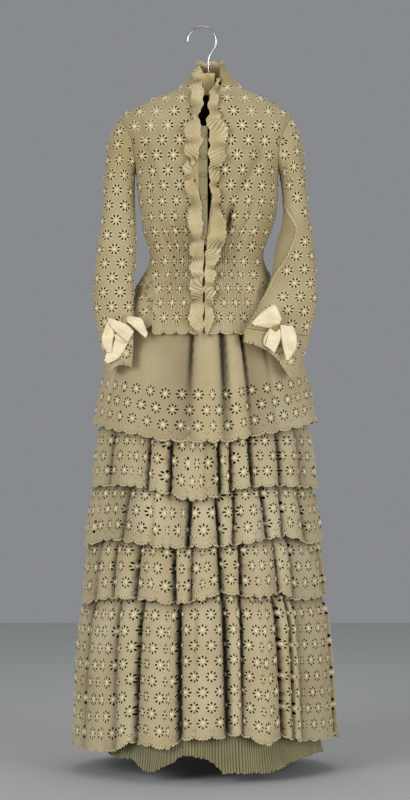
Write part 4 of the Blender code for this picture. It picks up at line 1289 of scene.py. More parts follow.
def make_sleeve(sign, name, materials, plain):
    """Cut, shape and dress one sleeve. The right one has a plain panel under a scalloped eyelet edge."""
    shape = SleeveShape(sign, SLEEVE_RIGHT if sign > 0 else SLEEVE_LEFT)
    down, up = shape.seam_curve(-1, 48), shape.seam_curve(1, 48)[::-1]
    end_u, end_v = shape.end_curve(shape.last, 40)
    top_u, top_v = shape.end_curve(0, 60)
    bottom = np.stack([end_u, end_v], axis=1)[1:-1]
    top = np.stack([top_u, top_v], axis=1)[::-1][1:-1]
    outline = np.concatenate([down, bottom, up, top])
    low, high = outline.min(axis=0), outline.max(axis=0)
    flowers = flower_centres(BODY_MOTIF, low, high, (14.0, shape.length - 18))
    flowers = flowers[flowers[:, 1] < shape.length - 12]
    seeds = seeds_between(low, high, 7.0, 9.0)
    openings, edge, dots = [], None, np.zeros((0, 2))
    if sign > 0:
        corners = [shape.flat_place(row.turn, row.z) for row in UNDER_SLEEVE]
        smooth = even_loop(spline(corners, 240, closed=True), 1.8)
        outward = loop_normal(smooth)
        if np.sum((smooth - smooth.mean(axis=0)) * outward) < 0:
            smooth, outward = smooth[::-1], -loop_normal(smooth)[::-1]
        steps = round(len(smooth) * 1.8 / 12.0)
        share = np.arange(len(smooth)) / len(smooth) * steps
        loop = smooth - outward * (3.0 * np.sqrt(np.abs(np.sin(np.pi * share))))[:, None]
        openings.append(loop)
        edge = np.concatenate([loop, loop[:1]])
        dots = (smooth + outward * 3.2)[::4]
        flowers = flowers[~inside(flowers, smooth + outward * 14)]
    cloth = cut_cloth(outline, flowers, BODY_MOTIF, dots, seeds, openings)
    item, extra = sew_sheet(name, cloth, shape, BODY_MOTIF, materials, edge, sign > 0)
    merge_seam(item)
    if sign > 0:
        under = smooth + outward * 7
        none = np.zeros((0, 2))
        patch = cut_cloth(under, none, BODY_MOTIF, none, seeds_between(low, high, 6.0, 7.0))
        points = lifted(shape.surface, patch.points, 1.4)
        panel = link_mesh("sleeve_right_panel", points, patch.faces, [plain])
        add_uv(panel.data, "cloth", patch.points[patch.faces] * MM)
        add_shade(panel.data, np.zeros(len(points)))
        claim(panel)


def hem_flowers(u, v):
    """Flower centres that follow a cuff's hem both ways from its lowest point, a steady gap apart."""
    gap, inset, softness = 31.0, 17.0, 9
    slope = np.stack([np.gradient(u), np.gradient(v)], axis=1)
    slope /= np.linalg.norm(slope, axis=1)[:, None]
    arc = arc_lengths(np.stack([u, v], axis=1))
    places = arc[np.argmax(v)] + gap * np.arange(-8, 9)
    places = places[(places > arc[0]) & (places < arc[-1])]
    index = np.searchsorted(arc, places)
    kernel = np.ones(softness) / softness
    slope = np.stack([np.convolve(slope[:, k], kernel, "same") for k in (0, 1)], axis=1)
    aside = np.stack([slope[:, 1], -slope[:, 0]], axis=1)[index]
    first = np.stack([u, v], axis=1)[index] + aside * inset
    second = (first[1:] + first[:-1]) / 2 + aside[1:] * gap * 0.8
    return np.concatenate([first, second])


def front_places(shape, low, high, middle, places):
    """Where on a cuff's cloth some points seen from the front lie: the nearest of a grid of its front half."""
    u, v = np.meshgrid(np.arange(low[0], high[0], 2.0), np.arange(low[1], high[1], 2.0))
    u, v = u.ravel(), v.ravel()
    points = shape.surface(u, v)
    away = np.hypot(points[:, None, 0] - places[:, 0], points[:, None, 2] - places[:, 1])
    index = np.argmin(away + 1000.0 * (points[:, 1] > middle)[:, None], axis=0)
    return np.stack([u[index], v[index]], axis=1)


def make_cuff(sign, name, materials):
    """Cut, shape and dress the fluted frill below one wrist."""
    table = CUFF_RIGHT if sign > 0 else CUFF_LEFT
    shape = SleeveShape(sign, table, False, 6, CUFF_RIGHT_TIP if sign > 0 else CUFF_LEFT_TIP)
    left, right = shape.seam_curve(-1, 7), shape.seam_curve(1, 7)[::-1]
    width = right[0, 0] - left[-1, 0]
    count = int(round(width / 32))
    end_u, end_v = shape.end_curve(shape.last, count * LOBES * LOBE_STEPS + 1)
    hem = np.stack([end_u, end_v - SCALLOP_DEPTH + scallop(end_u - end_u[0], width / count)], axis=1)
    top_u, top_v = shape.end_curve(0, 30)
    top = np.stack([top_u, top_v], axis=1)[::-1][1:-1]
    left = left[left[:, 1] < hem[0, 1] - 1]
    right = right[right[:, 1] < hem[-1, 1] - 1]
    outline = np.concatenate([left, hem, right, top])
    low, high = outline.min(axis=0), outline.max(axis=0)
    flowers = hem_flowers(end_u, end_v - SCALLOP_DEPTH)
    if sign > 0:
        middle = shape.surface(end_u, end_v / 2)[:, 1].mean()
        shown = front_places(shape, low, high, middle, CUFF_RIGHT_FLOWERS)
        hidden = shape.surface(flowers[:, 0], flowers[:, 1])[:, 1] > middle
        hidden &= nearest(flowers, shown)[1] > SKIRT_MOTIF.spacing - 3
        flowers = np.concatenate([flowers[hidden], shown])
    flowers = flowers[inside(flowers, outline)]
    flowers = flowers[edge_distance(flowers, outline) > 11.5]
    seeds = seeds_between(low, high, 5.0, 7.0)
    lobes = (np.arange(count * LOBES) + 0.5) / (count * LOBES)
    at = np.interp(lobes, np.linspace(0, 1, len(hem)), np.arange(len(hem))).astype(int)
    dots = hem[at] - np.array([0.0, 4.4])
    cloth = cut_cloth(outline, flowers, SKIRT_MOTIF, dots, seeds)
    item, extra = sew_sheet(name, cloth, shape, SKIRT_MOTIF, materials, hem, sign > 0)
    merge_seam(item)


def knife_pleats(place, pitch, depth):
    """Depth of knife pleats at a place: each rises slowly and drops back over a tenth of its pitch."""
    share = np.mod(place / pitch, 1.0)
    return depth * np.where(share < 0.88, share / 0.88, (1 - share) / 0.12)


def body_front(x, z):
    """The front's y at a place on the collar or the bodice, given by x and its real height."""
    rows = COLLAR[:-1] + BODICE
    level = z + np.interp(-z, [66, 118, 141], [2, NECK_DROP, 0])
    share = np.abs(x - read_table(rows, level, "centre")) / read_table(rows, level, "half")
    sine = np.clip(share, 0, 1) ** (1 / BODY_ROUND)
    return -read_table(rows, level, "front") * np.sqrt(np.clip(1 - sine ** 2, 0, 1)) ** BODY_ROUND


def make_shade_shells(material):
    """Dark shells of painted shade inside the bodice's back and the sleeves, which show in the open neck and
    through the eyelets.
    """
    z = np.linspace(-112, -596, 60)[:, None]
    angle = np.linspace(92, 268, 61)[None, :]
    grid = bodice(np.broadcast_to(z, (60, 61)), np.broadcast_to(angle, (60, 61)), -7.5)
    grid[..., 1] = np.maximum(grid[..., 1], 0.5)
    # A dark shell of painted shade inside the back.
    item = grid_piece("bodice_back_shade_shell", grid, material)
    claim(item)
    for sign, side in ((-1, "left"), (1, "right")):
        shape = SleeveShape(sign, SLEEVE_RIGHT if sign > 0 else SLEEVE_LEFT)
        turn, station = np.meshgrid(np.radians(np.linspace(182, 358, 25)), np.linspace(0.15, shape.last, 40))
        turn, station = turn.ravel(), station.ravel()
        points = shape.place(turn, station)
        middle = shape.place(turn * 0, station) / 2 + shape.place(turn * 0 + np.pi, station) / 2
        points = middle + (points - middle) * 0.86
        # A dark shell of painted shade inside each sleeve.
        item = grid_piece(f"sleeve_{side}_inside", points.reshape(40, 25, 3), material, flip=sign > 0)
        claim(item)


def make_pad_covers(material):
    """The pads' muslin close under the shoulders, so that the flowers' petals there show white."""
    for sign, side, low in ((-1, "left", -215), (1, "right", -186)):
        turn = np.linspace(22, 158, 69)
        share = np.linspace(0, 1, 24)[:, None]
        ragged = 7 * np.sin(np.radians(turn * 5)) + 5 * np.sin(np.radians(turn * 13))
        z = -117 + (low + ragged + 117) * share
        grid = bodice(z, sign * np.broadcast_to(turn, z.shape), -2.6 - 4.5 * share)
        item = grid_piece(f"pad_{side}_cover", grid, material, flip=sign < 0)
        claim(item)


def make_front_frill(sign, name, material):
    """The knife-pleated frill down one front edge.

    It is a strip from an inner to an outer line on the front. Its pleats slant and vary, its outer edge
    stands up in slow waves and rolls over, and its inner edge is puckered.
    """
    lines = FRILL_RIGHT if sign > 0 else FRILL_LEFT
    rows, columns = 1100, 17
    z = np.linspace(lines[0].z, lines[-1].z, rows)[:, None]
    inner, outer = read_table(lines, z, "inner"), read_table(lines, z, "outer")
    share = np.linspace(0, 1, columns)
    wide = np.abs(outer - inner)
    along = z[0, 0] - z
    slant = 0.9 + 0.5 * np.sin(along / 37 + sign)
    place = (along + slant * wide * share) / 6.3 + 0.8 * np.sin(along / 19) + 0.4 * np.sin(along / 7.3 + 2)
    pleat = knife_pleats(place, 1.0, 1.0)
    strong = 0.65 + 0.35 * np.sin(along / 13.0 + 0.7 * sign)
    slow = np.sin(along / 7.5 + 1.9 * np.sin(along / 31) + sign)
    fast = np.sin(along / 3.1 + 2.3 * np.sin(along / 17))
    stand = np.clip(wide / 16, 0.35, 1.1)
    lift = 1.4 + 3.0 * share + 3.4 * strong * pleat * (0.4 + 0.6 * share)
    lift = lift + share ** 1.2 * (4.4 * (1 + slow) + 1.5 * (1 + fast)) * stand
    roll = np.clip(share - 0.62, 0, 1) / 0.38
    lift = lift - 3.6 * roll ** 2 * (0.5 + 0.5 * slow)
    x = inner + (outer - inner) * share
    x = x + sign * share * (2.2 * strong * (pleat - 0.5) + 3.0 * slow * stand + 0.8 * fast)
    x = x + sign * (1 - share) ** 2 * (1.6 * np.sin(along / 5.1) + 0.9 * fast)
    y = body_front(inner + (outer - inner) * share, z) - lift
    height = z + share * (1.5 * fast - 2.0 * pleat) + 2.2 * roll * slow
    points = np.stack([x, y, height], axis=-1)
    uv = np.stack([np.broadcast_to(share * 30, pleat.shape), np.broadcast_to(along, pleat.shape)], axis=-1)
    # Painted shade: dark lines in the pleats' folds, and darker in the troughs of the edge's slow waves.
    low = 0.65 * np.clip(-slow - 0.15, 0, 1) * (0.3 + 0.7 * share)
    shade = 0.9 * strong * np.clip(1 - pleat / 0.5, 0, 1) + low
    item = grid_piece(name, points, material, shade=np.clip(shade, 0, 1), flip=sign < 0, uv=uv)
    claim(item, name)


def collar_grid(shares, start, end, count, out):
    """Grid round the standing collar: from its top edge (share 0) to the neck seam (share 1)."""
    rows = []
    for share in shares:
        z = COLLAR[0].z + (COLLAR[-1].z - COLLAR[0].z) * share
        first = start[0] + (start[1] - start[0]) * share
        last = end[0] + (end[1] - end[0]) * share
        angle = np.linspace(first, 360 - last, count)
        row = ring(COLLAR, np.full(count, z), angle, BODY_ROUND, out)
        turn = np.radians(angle)
        row[:, 2] -= (2 + 8 * share) * np.cos(turn) * (1 - 0.6 * (np.cos(turn) < 0))
        corner = np.exp(-(((angle - first) / 40) ** 2))
        row[:, 2] -= (1 - share) ** 2 * (2.5 * corner + 6.8 * np.exp(-(((360 - last - angle) / 40) ** 2)))
        row[:, 0] += (1 - share) ** 2 * 4 * corner
        rows.append(row)
    return np.array(rows)


def make_collar(cloth_material, frill_material):
    """The standing collar, which flares into the shoulders, and the pleated frill inside its top edge."""
    start, end = (36.0, 17.0), (48.0, 22.0)
    grid = collar_grid(np.linspace(0, 1, 24), start, end, 181, 0.2)
    pucker = np.sin(np.arange(181) * 1.1)[None, :] * np.sin(np.arange(24) * 0.9)[:, None]
    grid[..., 1] += 0.35 * pucker
    # Painted shade in the band's puckers.
    shade = 0.3 * np.clip(pucker, 0, 1)
    band = grid_piece("collar_band", grid, cloth_material, shade=shade)
    claim(band, "collar_band")
    shares = np.linspace(-0.16, 0.8, 15)
    grid = collar_grid(shares, start, end, 1100, -2.0)
    place = np.linspace(0, 38, 1100)
    place = place + 0.5 * np.sin(place / 2.1)
    turn = np.linspace(start[0], 360 - end[0], 1100)
    away = -inward(turn)
    ends = np.clip(np.minimum(turn - turn[0], turn[-1] - turn) / 14, 0, 1)
    shade = []
    for row, share in zip(grid, shares):
        free = np.clip(1 - share / 0.5, 0, 1.3) * ends
        pleat = knife_pleats(place + 0.5 * share, 1.0, 1.0)
        wave = np.sin(place / 1.3 + 1.1 * np.sin(place / 3.1))
        out = (1.4 * pleat + 1.6 * wave) * (0.3 + 0.7 * free) + 5.5 * max(0.0, 0.12 - share) / 0.28 - 1.0
        row += away * out[:, None]
        row[:, 2] += free * (2.2 * wave + 1.6 * pleat) - 1.0
        # Painted shade in the pleats' folds, and over all but the frill's top edge, which lies inside the collar.
        shade.append(0.65 * np.clip(1 - pleat / 0.4, 0, 1) + 0.3 * (share > 0.1))
    frill = grid_piece("collar_frill", grid, frill_material, shade=np.array(shade))
    claim(frill, "collar_frill")


def make_placket(material):
    """The plain button stand, a strip of the left front's own surface."""
    rows, columns = 60, 7
    z = np.linspace(-200, -428, rows)[:, None]
    left = read_straight(FRONT_EDGE_LEFT, z, "x") - 6
    right = read_straight(FRONT_EDGE_RIGHT, z, "x")
    across = np.linspace(0, 1, columns)
    x = left + (np.minimum(right, 10.5) - left) * across
    y = body_front(x, z) + 0.9 * np.sin(z / 17) * across + 1.0
    item = grid_piece("button_placket", np.stack([x, y, np.broadcast_to(z, x.shape)], axis=-1), material)
    claim(item, "button_placket")


def make_buttons(material):
    """Covered buttons: domes turned about the line to the front, with a rolled rim."""
    profile = [(0.2, 2.45), (2.2, 2.3), (3.9, 1.7), (4.8, 0.9), (5.4, 0.2), (5.3, -0.8), (4.2, -1.9), (0.2, -2.3)]
    turn = np.arange(28) * 2 * np.pi / 28
    for index in range(1, BUTTONS + 1):
        low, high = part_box(f"button_{index}")
        middle = (np.array(low) + np.array(high)) / 2 / MM
        rows = []
        for radius, height in profile:
            rows.append(np.stack([middle[0] + radius * np.sin(turn), np.full(28, middle[1] - height),
                                  middle[2] + radius * np.cos(turn)], axis=1))
        item = grid_piece(f"button_{index}_cover", np.array(rows), material, closed=True)
        claim(item, f"button_{index}")


def make_bow(name, knot, patches, material, knot_material):
    """A ribbon bow: each loop or tail is a flat tube of ribbon between two edges, bulged to the front."""
    grids = []
    turn = np.linspace(0, 2 * np.pi, 29)
    for patch in patches:
        count = 22
        left, right = spline(patch.left, count), spline(patch.right, count)
        share = np.linspace(0, 1, count)[:, None]
        centre, half = (left + right) / 2, (right - left) / 2
        spread = np.cos(turn)
        plan = centre[:, None, :] + half[:, None, :] * spread[None, :, None]
        swell = np.where(np.sin(turn) > 0, np.abs(np.sin(turn)) ** 0.7, -0.12 * np.abs(np.sin(turn)))
        body = patch.puff * swell * (0.35 + 0.65 * np.sin(np.pi * np.clip(share, 0.08, 0.92)))
        front = (np.sin(turn) > 0) * np.abs(np.sin(turn))
        crease = 1.1 * np.cos(patch.creases * np.pi * spread + 0.6) * front
        y = patch.y - patch.lift - body - crease * (0.4 + 0.6 * (1 - share)) * patch.puff / 5
        grids.append(np.stack([plan[..., 0], y, plan[..., 1]], axis=-1))
    around, band = np.meshgrid(np.linspace(0, 2 * np.pi, 25), np.linspace(-1, 1, 9))
    swell = np.sqrt(np.clip(1 - 0.8 * band ** 2, 0, 1)) * (1 + 0.07 * np.sin(around * 5))
    grids.append(np.stack([knot[0] + 6.5 * np.cos(around) * swell, knot[1] - 7.5 * np.sin(around) * swell,
                           knot[2] + 8.0 * band + 0.6 * np.sin(around * 3)], axis=-1))
    parts, uv = [], []
    for index, grid in enumerate(grids):
        rows, columns = grid.shape[:2]
        some = grid.reshape(-1, 3)
        parts.append((some, facing_out(some, grid_faces(rows, columns)), int(index == len(grids) - 1)))
        across, down = np.meshgrid(np.linspace(0, 0.03, columns), np.linspace(0, 0.08, rows))
        uv.append(np.stack([across, down], axis=-1).reshape(-1, 2))
    points, faces, slots = joined(parts)
    item = link_mesh(f"{name}_ribbon", points, faces, [material, knot_material])
    item.data.polygons.foreach_set("material_index", slots)
    add_uv(item.data, "cloth", np.concatenate(uv)[faces.ravel()])
    add_shade(item.data, np.zeros(len(points)))
    claim(item, name)


def make_dust_ruffle(material):
    """The knife-pleated ruffle inside the hem: a ring loft with narrow pleats and an uneven lower edge."""
    pleats = 262
    columns, rows = pleats * 7, 13
    angle = np.linspace(0, 360, columns, endpoint=False)
    place = angle / 360 * pleats + 0.35 * np.sin(np.radians(angle * 13)) + 0.2 * np.sin(np.radians(angle * 31))
    pleat = knife_pleats(place, 1.0, 1.0)
    single = np.floor(place)
    ragged = 1.3 * np.sin(single * 2.7) + 0.9 * np.sin(single * 7.1)
    hem = read_hem(RUFFLE_HEM, angle) + ragged
    grid, shade = [], []
    for share in np.linspace(0, 1, rows):
        height = -1330 + (hem + 1330) * share
        wave = 5.0 * share ** 2 * np.sin(np.radians(angle * 9) + 1) * np.sin(np.radians(angle * 5))
        out = 3.2 * pleat * (0.2 + 0.8 * share) + wave - 2.0 * share
        row = ring(DUST_RUFFLE, height, angle, SKIRT_ROUND, out)
        row[:, 2] += 0.8 * pleat * share
        grid.append(row)
        # Painted shade in the pleats' folds, and more towards the top, under the flounce.
        shade.append(np.clip(0.75 - 1.1 * pleat, 0, 1) + 0.25 * (1 - share))
    shade = np.clip(np.array(shade), 0, 1)
    item = grid_piece("dust_ruffle", np.array(grid), material, closed=True, shade=shade)
    claim(item, "dust_ruffle")


def tube_points(path, radius):
    """A round tube along a path in the plane of X and Z."""
    path = np.asarray(path, float)
    along = np.gradient(path, axis=0)
    along /= np.linalg.norm(along, axis=1)[:, None]
    side = np.stack([-along[:, 2], 0 * along[:, 1], along[:, 0]], axis=1)
    turn = (np.arange(TUBE_SIDES) * 2 * np.pi / TUBE_SIDES)[None, :, None]
    around = np.cos(turn) * side[:, None, :] + np.sin(turn) * np.array([0, 1.0, 0])
    return path[:, None, :] + np.asarray(radius, float).reshape(-1, 1, 1) * around


def make_hook(material):
    """The hook: an arc over the rail, an easy bend and a straight stem, with a rounded tip and a ferrule."""
    turn = np.radians(np.linspace(188, -38, 60))
    rise = HOOK_RADIUS * np.sin(turn) - HOOK_RADIUS + HOOK_WIRE / 2
    arc = np.stack([HOOK_RADIUS * np.cos(turn), 0 * turn, rise], axis=1)
    bend = [(17.0, -50.0), (13.9, -57.0), (STEM_X, -64.0), (STEM_X, -78.0), (STEM_X, BLOCK_TOP + 0.3)]
    path = np.concatenate([arc, np.array([(x, 0, z) for x, z in bend])])
    radius = np.full(len(path), HOOK_WIRE / 2)
    radius[0], radius[1] = HOOK_WIRE / 8, HOOK_WIRE / 2.4
    wire = grid_piece("hook_wire", tube_points(path, radius), material, closed=True)
    stem = np.array([(STEM_X, 0, BLOCK_TOP + height) for height in (5.0, 4.6, 1.2, 0.4)])
    ferrule = grid_piece("hook_ferrule", tube_points(stem, [1.7, 3.0, 3.4, 4.2]), material, closed=True)
    claim(wire, "hook")
    claim(ferrule)


def make_pads(material):
    """The padded arms: each solid's own rings, softened."""
    for name, sign in (("pad_left", -1), ("pad_right", 1)):
        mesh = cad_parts[name].data.copy()
        item = link_object(f"{name}_muslin", mesh)
        shell = bmesh.new()
        shell.from_mesh(mesh)
        bmesh.ops.remove_doubles(shell, verts=shell.verts, dist=0.00002)
        bmesh.ops.recalc_face_normals(shell, faces=shell.faces)
        shell.to_mesh(mesh)
        shell.free()
        mesh.shade_smooth()
        mesh.materials.clear()
        mesh.materials.append(material)
        soften = item.modifiers.new("soften", "SUBSURF")
        soften.levels = soften.render_levels = 2
        claim(item, name)


def linear(code):
    """Linear colour of an sRGB hex code."""
    parts = [int(code[at:at + 2], 16) / 255 for at in (1, 3, 5)]
    return tuple(part / 12.92 if part <= 0.04045 else ((part + 0.055) / 1.055) ** 2.4 for part in parts)


def add_node(tree, kind, inputs=None, **settings):
    """A node with its settings, and its inputs set to a value or linked from another node's output."""
    item = tree.nodes.new(kind)
    for key, value in settings.items():
        setattr(item, key, value)
    for key, value in (inputs or {}).items():
        if isinstance(value, bpy.types.NodeSocket):
            tree.links.new(value, item.inputs[key])
        else:
            item.inputs[key].default_value = value
    return item


def new_material(name, roughness, **constants):
    """A Principled material with its constant sockets set, its tree and its shader."""
    material = bpy.data.materials.new(name)
    material.use_nodes = True
    tree = material.node_tree
    shader = tree.nodes["Principled BSDF"]
    shader.inputs["Roughness"].default_value = roughness
    for key, value in constants.items():
        shader.inputs[key.replace("_", " ")].default_value = value
    return material, tree, shader


def cloth_uv(tree):
    """The cloth's flat places, in metres."""
    return add_node(tree, "ShaderNodeUVMap", uv_map="cloth").outputs["UV"]


def object_place(tree):
    """Places in the object's own space, in metres."""
    return add_node(tree, "ShaderNodeTexCoord").outputs["Object"]


def noise(tree, vector, scale, detail, roughness=0.5):
    """A soft noise."""
    inputs = {"Vector": vector, "Scale": scale, "Detail": detail, "Roughness": roughness}
    return add_node(tree, "ShaderNodeTexNoise", inputs).outputs["Fac"]


def ramped(tree, value, low, high):
    """A value mapped to run from 0 at its low end to 1 at its high end, kept between them."""
    inputs = {"Value": value, "From Min": low, "From Max": high}
    return add_node(tree, "ShaderNodeMapRange", inputs).outputs["Result"]


def add_bump(tree, shader, height, strength, distance):
    """A bump from a height on the shader's normal."""
    bump = add_node(tree, "ShaderNodeBump", {"Height": height, "Strength": strength, "Distance": distance})
    tree.links.new(bump.outputs["Normal"], shader.inputs["Normal"])


def weave_height(tree, uv):
    """Height of a plain weave: crossed waves a thread apart."""
    scale = 1000 / THREAD_PITCH / 20 * math.pi
    waves = []
    for direction in ("X", "Y"):
        wave = add_node(tree, "ShaderNodeTexWave", {"Vector": uv, "Scale": scale}, bands_direction=direction)
        waves.append(wave.outputs["Fac"])
    return maths(tree, "MULTIPLY", *waves)


def shaded(tree, colour, dark):
    """Painted shade: a colour taken towards a dark one by the shade attribute."""
    shade = add_node(tree, "ShaderNodeAttribute", attribute_name="shade").outputs["Fac"]
    return mixed_colour(tree, maths(tree, "MULTIPLY", shade, 0.9), colour, dark)


def mottled(tree, vector, first, second, scale):
    """Two colours mixed by a soft noise."""
    ramp = add_node(tree, "ShaderNodeValToRGB", {"Fac": noise(tree, vector, scale, 4.0, 0.6)})
    for element, place, code in zip(ramp.color_ramp.elements, (0.35, 0.68), (first, second)):
        element.position = place
        element.color = (*linear(code), 1)
    return ramp.outputs["Color"]


def mixed_colour(tree, factor, first, second):
    """A mix of two colours, each a socket or a hex code, by a factor socket."""
    mix = add_node(tree, "ShaderNodeMix", {"Factor": factor}, data_type="RGBA")
    for index, value in ((6, first), (7, second)):
        if isinstance(value, bpy.types.NodeSocket):
            tree.links.new(value, mix.inputs[index])
        else:
            mix.inputs[index].default_value = (*linear(value), 1)
    return mix.outputs[2]


def maths(tree, operation, *values):
    """The output of a Math node."""
    return add_node(tree, "ShaderNodeMath", dict(enumerate(values)), operation=operation).outputs[0]


def squares(tree, x, y):
    """The sum of two squares."""
    return maths(tree, "ADD", maths(tree, "MULTIPLY", x, x), maths(tree, "MULTIPLY", y, y))


def stitch_mask(tree):
    """Where buttonhole stitches ring a hole: a band round each petal's oval, and round each small eyelet."""
    uv = add_node(tree, "ShaderNodeUVMap", uv_map="flower").outputs["UV"]
    split = add_node(tree, "ShaderNodeSeparateXYZ", {"Vector": uv})
    x, y = split.outputs["X"], split.outputs["Y"]
    radius = maths(tree, "SQRT", squares(tree, x, y))
    step = math.pi / PETALS
    petal = maths(tree, "WRAP", maths(tree, "ARCTAN2", y, x), -step, step)
    along = maths(tree, "MULTIPLY", radius, maths(tree, "COSINE", petal))
    across = maths(tree, "MULTIPLY", radius, maths(tree, "SINE", petal))
    p = maths(tree, "DIVIDE", maths(tree, "SUBTRACT", along, 9.0), 3.9)
    q = maths(tree, "DIVIDE", across, 2.7)
    petals = ramped(tree, squares(tree, p, q), 1.3, 0.8)
    heart = ramped(tree, radius, 5.2, 4.2)
    small = maths(tree, "SQRT", squares(tree, maths(tree, "SUBTRACT", x, EYELET_CODE), y))
    return maths(tree, "MAXIMUM", maths(tree, "MAXIMUM", petals, heart), ramped(tree, small, 2.4, 1.8))


def eyelet_cotton(name, first, second, stitch):
    """Cotton muslin, plain woven and faded unevenly: a matt grey-beige with cream stitching round its holes,
    taken towards a dark colour by painted shade in its folds.
    """
    material, tree, shader = new_material(name, 0.9, Sheen_Weight=0.15, Specular_IOR_Level=0.25)
    uv, place, mask = cloth_uv(tree), object_place(tree), stitch_mask(tree)
    height = add_node(tree, "ShaderNodeSeparateXYZ", {"Vector": place}).outputs["Z"]
    upper = mottled(tree, place, first, second, 9.0)
    lower = mottled(tree, place, "#b19f79", "#beb190", 9.0)
    cloth = mixed_colour(tree, ramped(tree, height, -0.45, -0.75), upper, lower)
    speck = maths(tree, "MULTIPLY_ADD", noise(tree, uv, 420.0, 3.0), 0.7, 0.65)
    colour = mixed_colour(tree, maths(tree, "MULTIPLY", mask, 0.5), cloth, stitch)
    tinted = add_node(tree, "ShaderNodeVectorMath", {0: colour}, operation="SCALE")
    tree.links.new(speck, tinted.inputs["Scale"])
    # Painted shade: the colour goes towards a dark one where the shade attribute is high.
    tree.links.new(shaded(tree, tinted.outputs[0], FOLD_SHADE_COLOUR), shader.inputs["Base Color"])
    relief = maths(tree, "MULTIPLY_ADD", mask, 0.6, maths(tree, "MULTIPLY", weave_height(tree, uv), 0.25))
    add_bump(tree, shader, relief, 0.35, 0.0006)
    return material


def stitched_thread(name, first, second):
    """Mercerised embroidery cotton, satin stitched: a little brighter and smoother than the cloth."""
    material, tree, shader = new_material(name, 0.7, Sheen_Weight=0.2, Specular_IOR_Level=0.35)
    place = object_place(tree)
    tree.links.new(mottled(tree, place, first, second, 60.0), shader.inputs["Base Color"])
    add_bump(tree, shader, noise(tree, place, 1600.0, 1.0), 0.4, 0.0004)
    return material


def plain_cotton(name, first, second, dark=FOLD_SHADE_COLOUR, roughness=0.92):
    """Plain cotton, woven and unglazed: matt, with faint weave, uneven fading and painted shade towards a dark
    colour in its folds.
    """
    material, tree, shader = new_material(name, roughness, Sheen_Weight=0.15, Specular_IOR_Level=0.25)
    colour = mottled(tree, object_place(tree), first, second, 24.0)
    tree.links.new(shaded(tree, colour, dark), shader.inputs["Base Color"])
    add_bump(tree, shader, weave_height(tree, cloth_uv(tree)), 0.3, 0.0004)
    return material


def painted_shade_cotton():
    """Nearly black brown: painted shade for the foundation and for the shells inside the bodice and sleeves, so
    that holes and folds read dark.
    """
    material, tree, shader = new_material("painted_shade_brown", 0.85, Specular_IOR_Level=0.2)
    colour = mottled(tree, object_place(tree), "#2b1d0e", "#3a2815", 30.0)
    tree.links.new(colour, shader.inputs["Base Color"])
    return material


def satin():
    """Silk satin ribbon, warp faced: a smooth cream with a soft sheen and faint cross ribs."""
    settings = {"Sheen_Weight": 0.3, "Specular_IOR_Level": 0.5, "Anisotropic": 0.4}
    material, tree, shader = new_material("silk_satin", 0.42, **settings)
    uv, place = cloth_uv(tree), object_place(tree)
    tree.links.new(mottled(tree, place, "#dccba2", "#f1e4c3", 40.0), shader.inputs["Base Color"])
    inputs = {"Vector": uv, "Scale": 90.0, "Distortion": 0.6}
    ribs = add_node(tree, "ShaderNodeTexWave", inputs, bands_direction="Y").outputs["Fac"]
    ribs = maths(tree, "MULTIPLY", ribs, 0.1)
    add_bump(tree, shader, maths(tree, "MULTIPLY_ADD", noise(tree, place, 90.0, 3.0), 2.0, ribs), 0.35, 0.001)
    return material


def beech():
    """Bare planed beech with fine short grain along its length. Its colours are set paler than the wood's own
    warm tan, as painted light for the block, which lies in the collar's shade.
    """
    material, tree, shader = new_material("beech", 0.55, Specular_IOR_Level=0.4)
    inputs = {"Vector": object_place(tree), "Scale": (9.0, 9.0, 1.0)}
    stretched = add_node(tree, "ShaderNodeMapping", inputs).outputs["Vector"]
    grain = noise(tree, stretched, 90.0, 5.0)
    # Painted light: both colours are paler than the wood's own tan.
    tree.links.new(mixed_colour(tree, grain, "#ffd48a", "#fff0b4"), shader.inputs["Base Color"])
    add_bump(tree, shader, grain, 0.15, 0.0003)
    return material


def chrome():
    """Chrome plate on drawn wire: bright and hard, with faint smudges."""
    material, tree, shader = new_material("chrome_plate", 0.18, Metallic=1.0)
    inputs = {"Value": noise(tree, object_place(tree), 160.0, 3.0), "To Min": 0.12, "To Max": 0.3}
    rough = add_node(tree, "ShaderNodeMapRange", inputs)
    tree.links.new(rough.outputs["Result"], shader.inputs["Roughness"])
    shader.inputs["Base Color"].default_value = (*linear("#c9cacb"), 1)
    return material


def studio_paper(name, code):
    """Seamless background paper: matt and even."""
    material, tree, shader = new_material(name, 0.95, Specular_IOR_Level=0.1)
    tree.links.new(mottled(tree, object_place(tree), code, code, 1.0), shader.inputs["Base Color"])
    return material


MATERIALS = {}


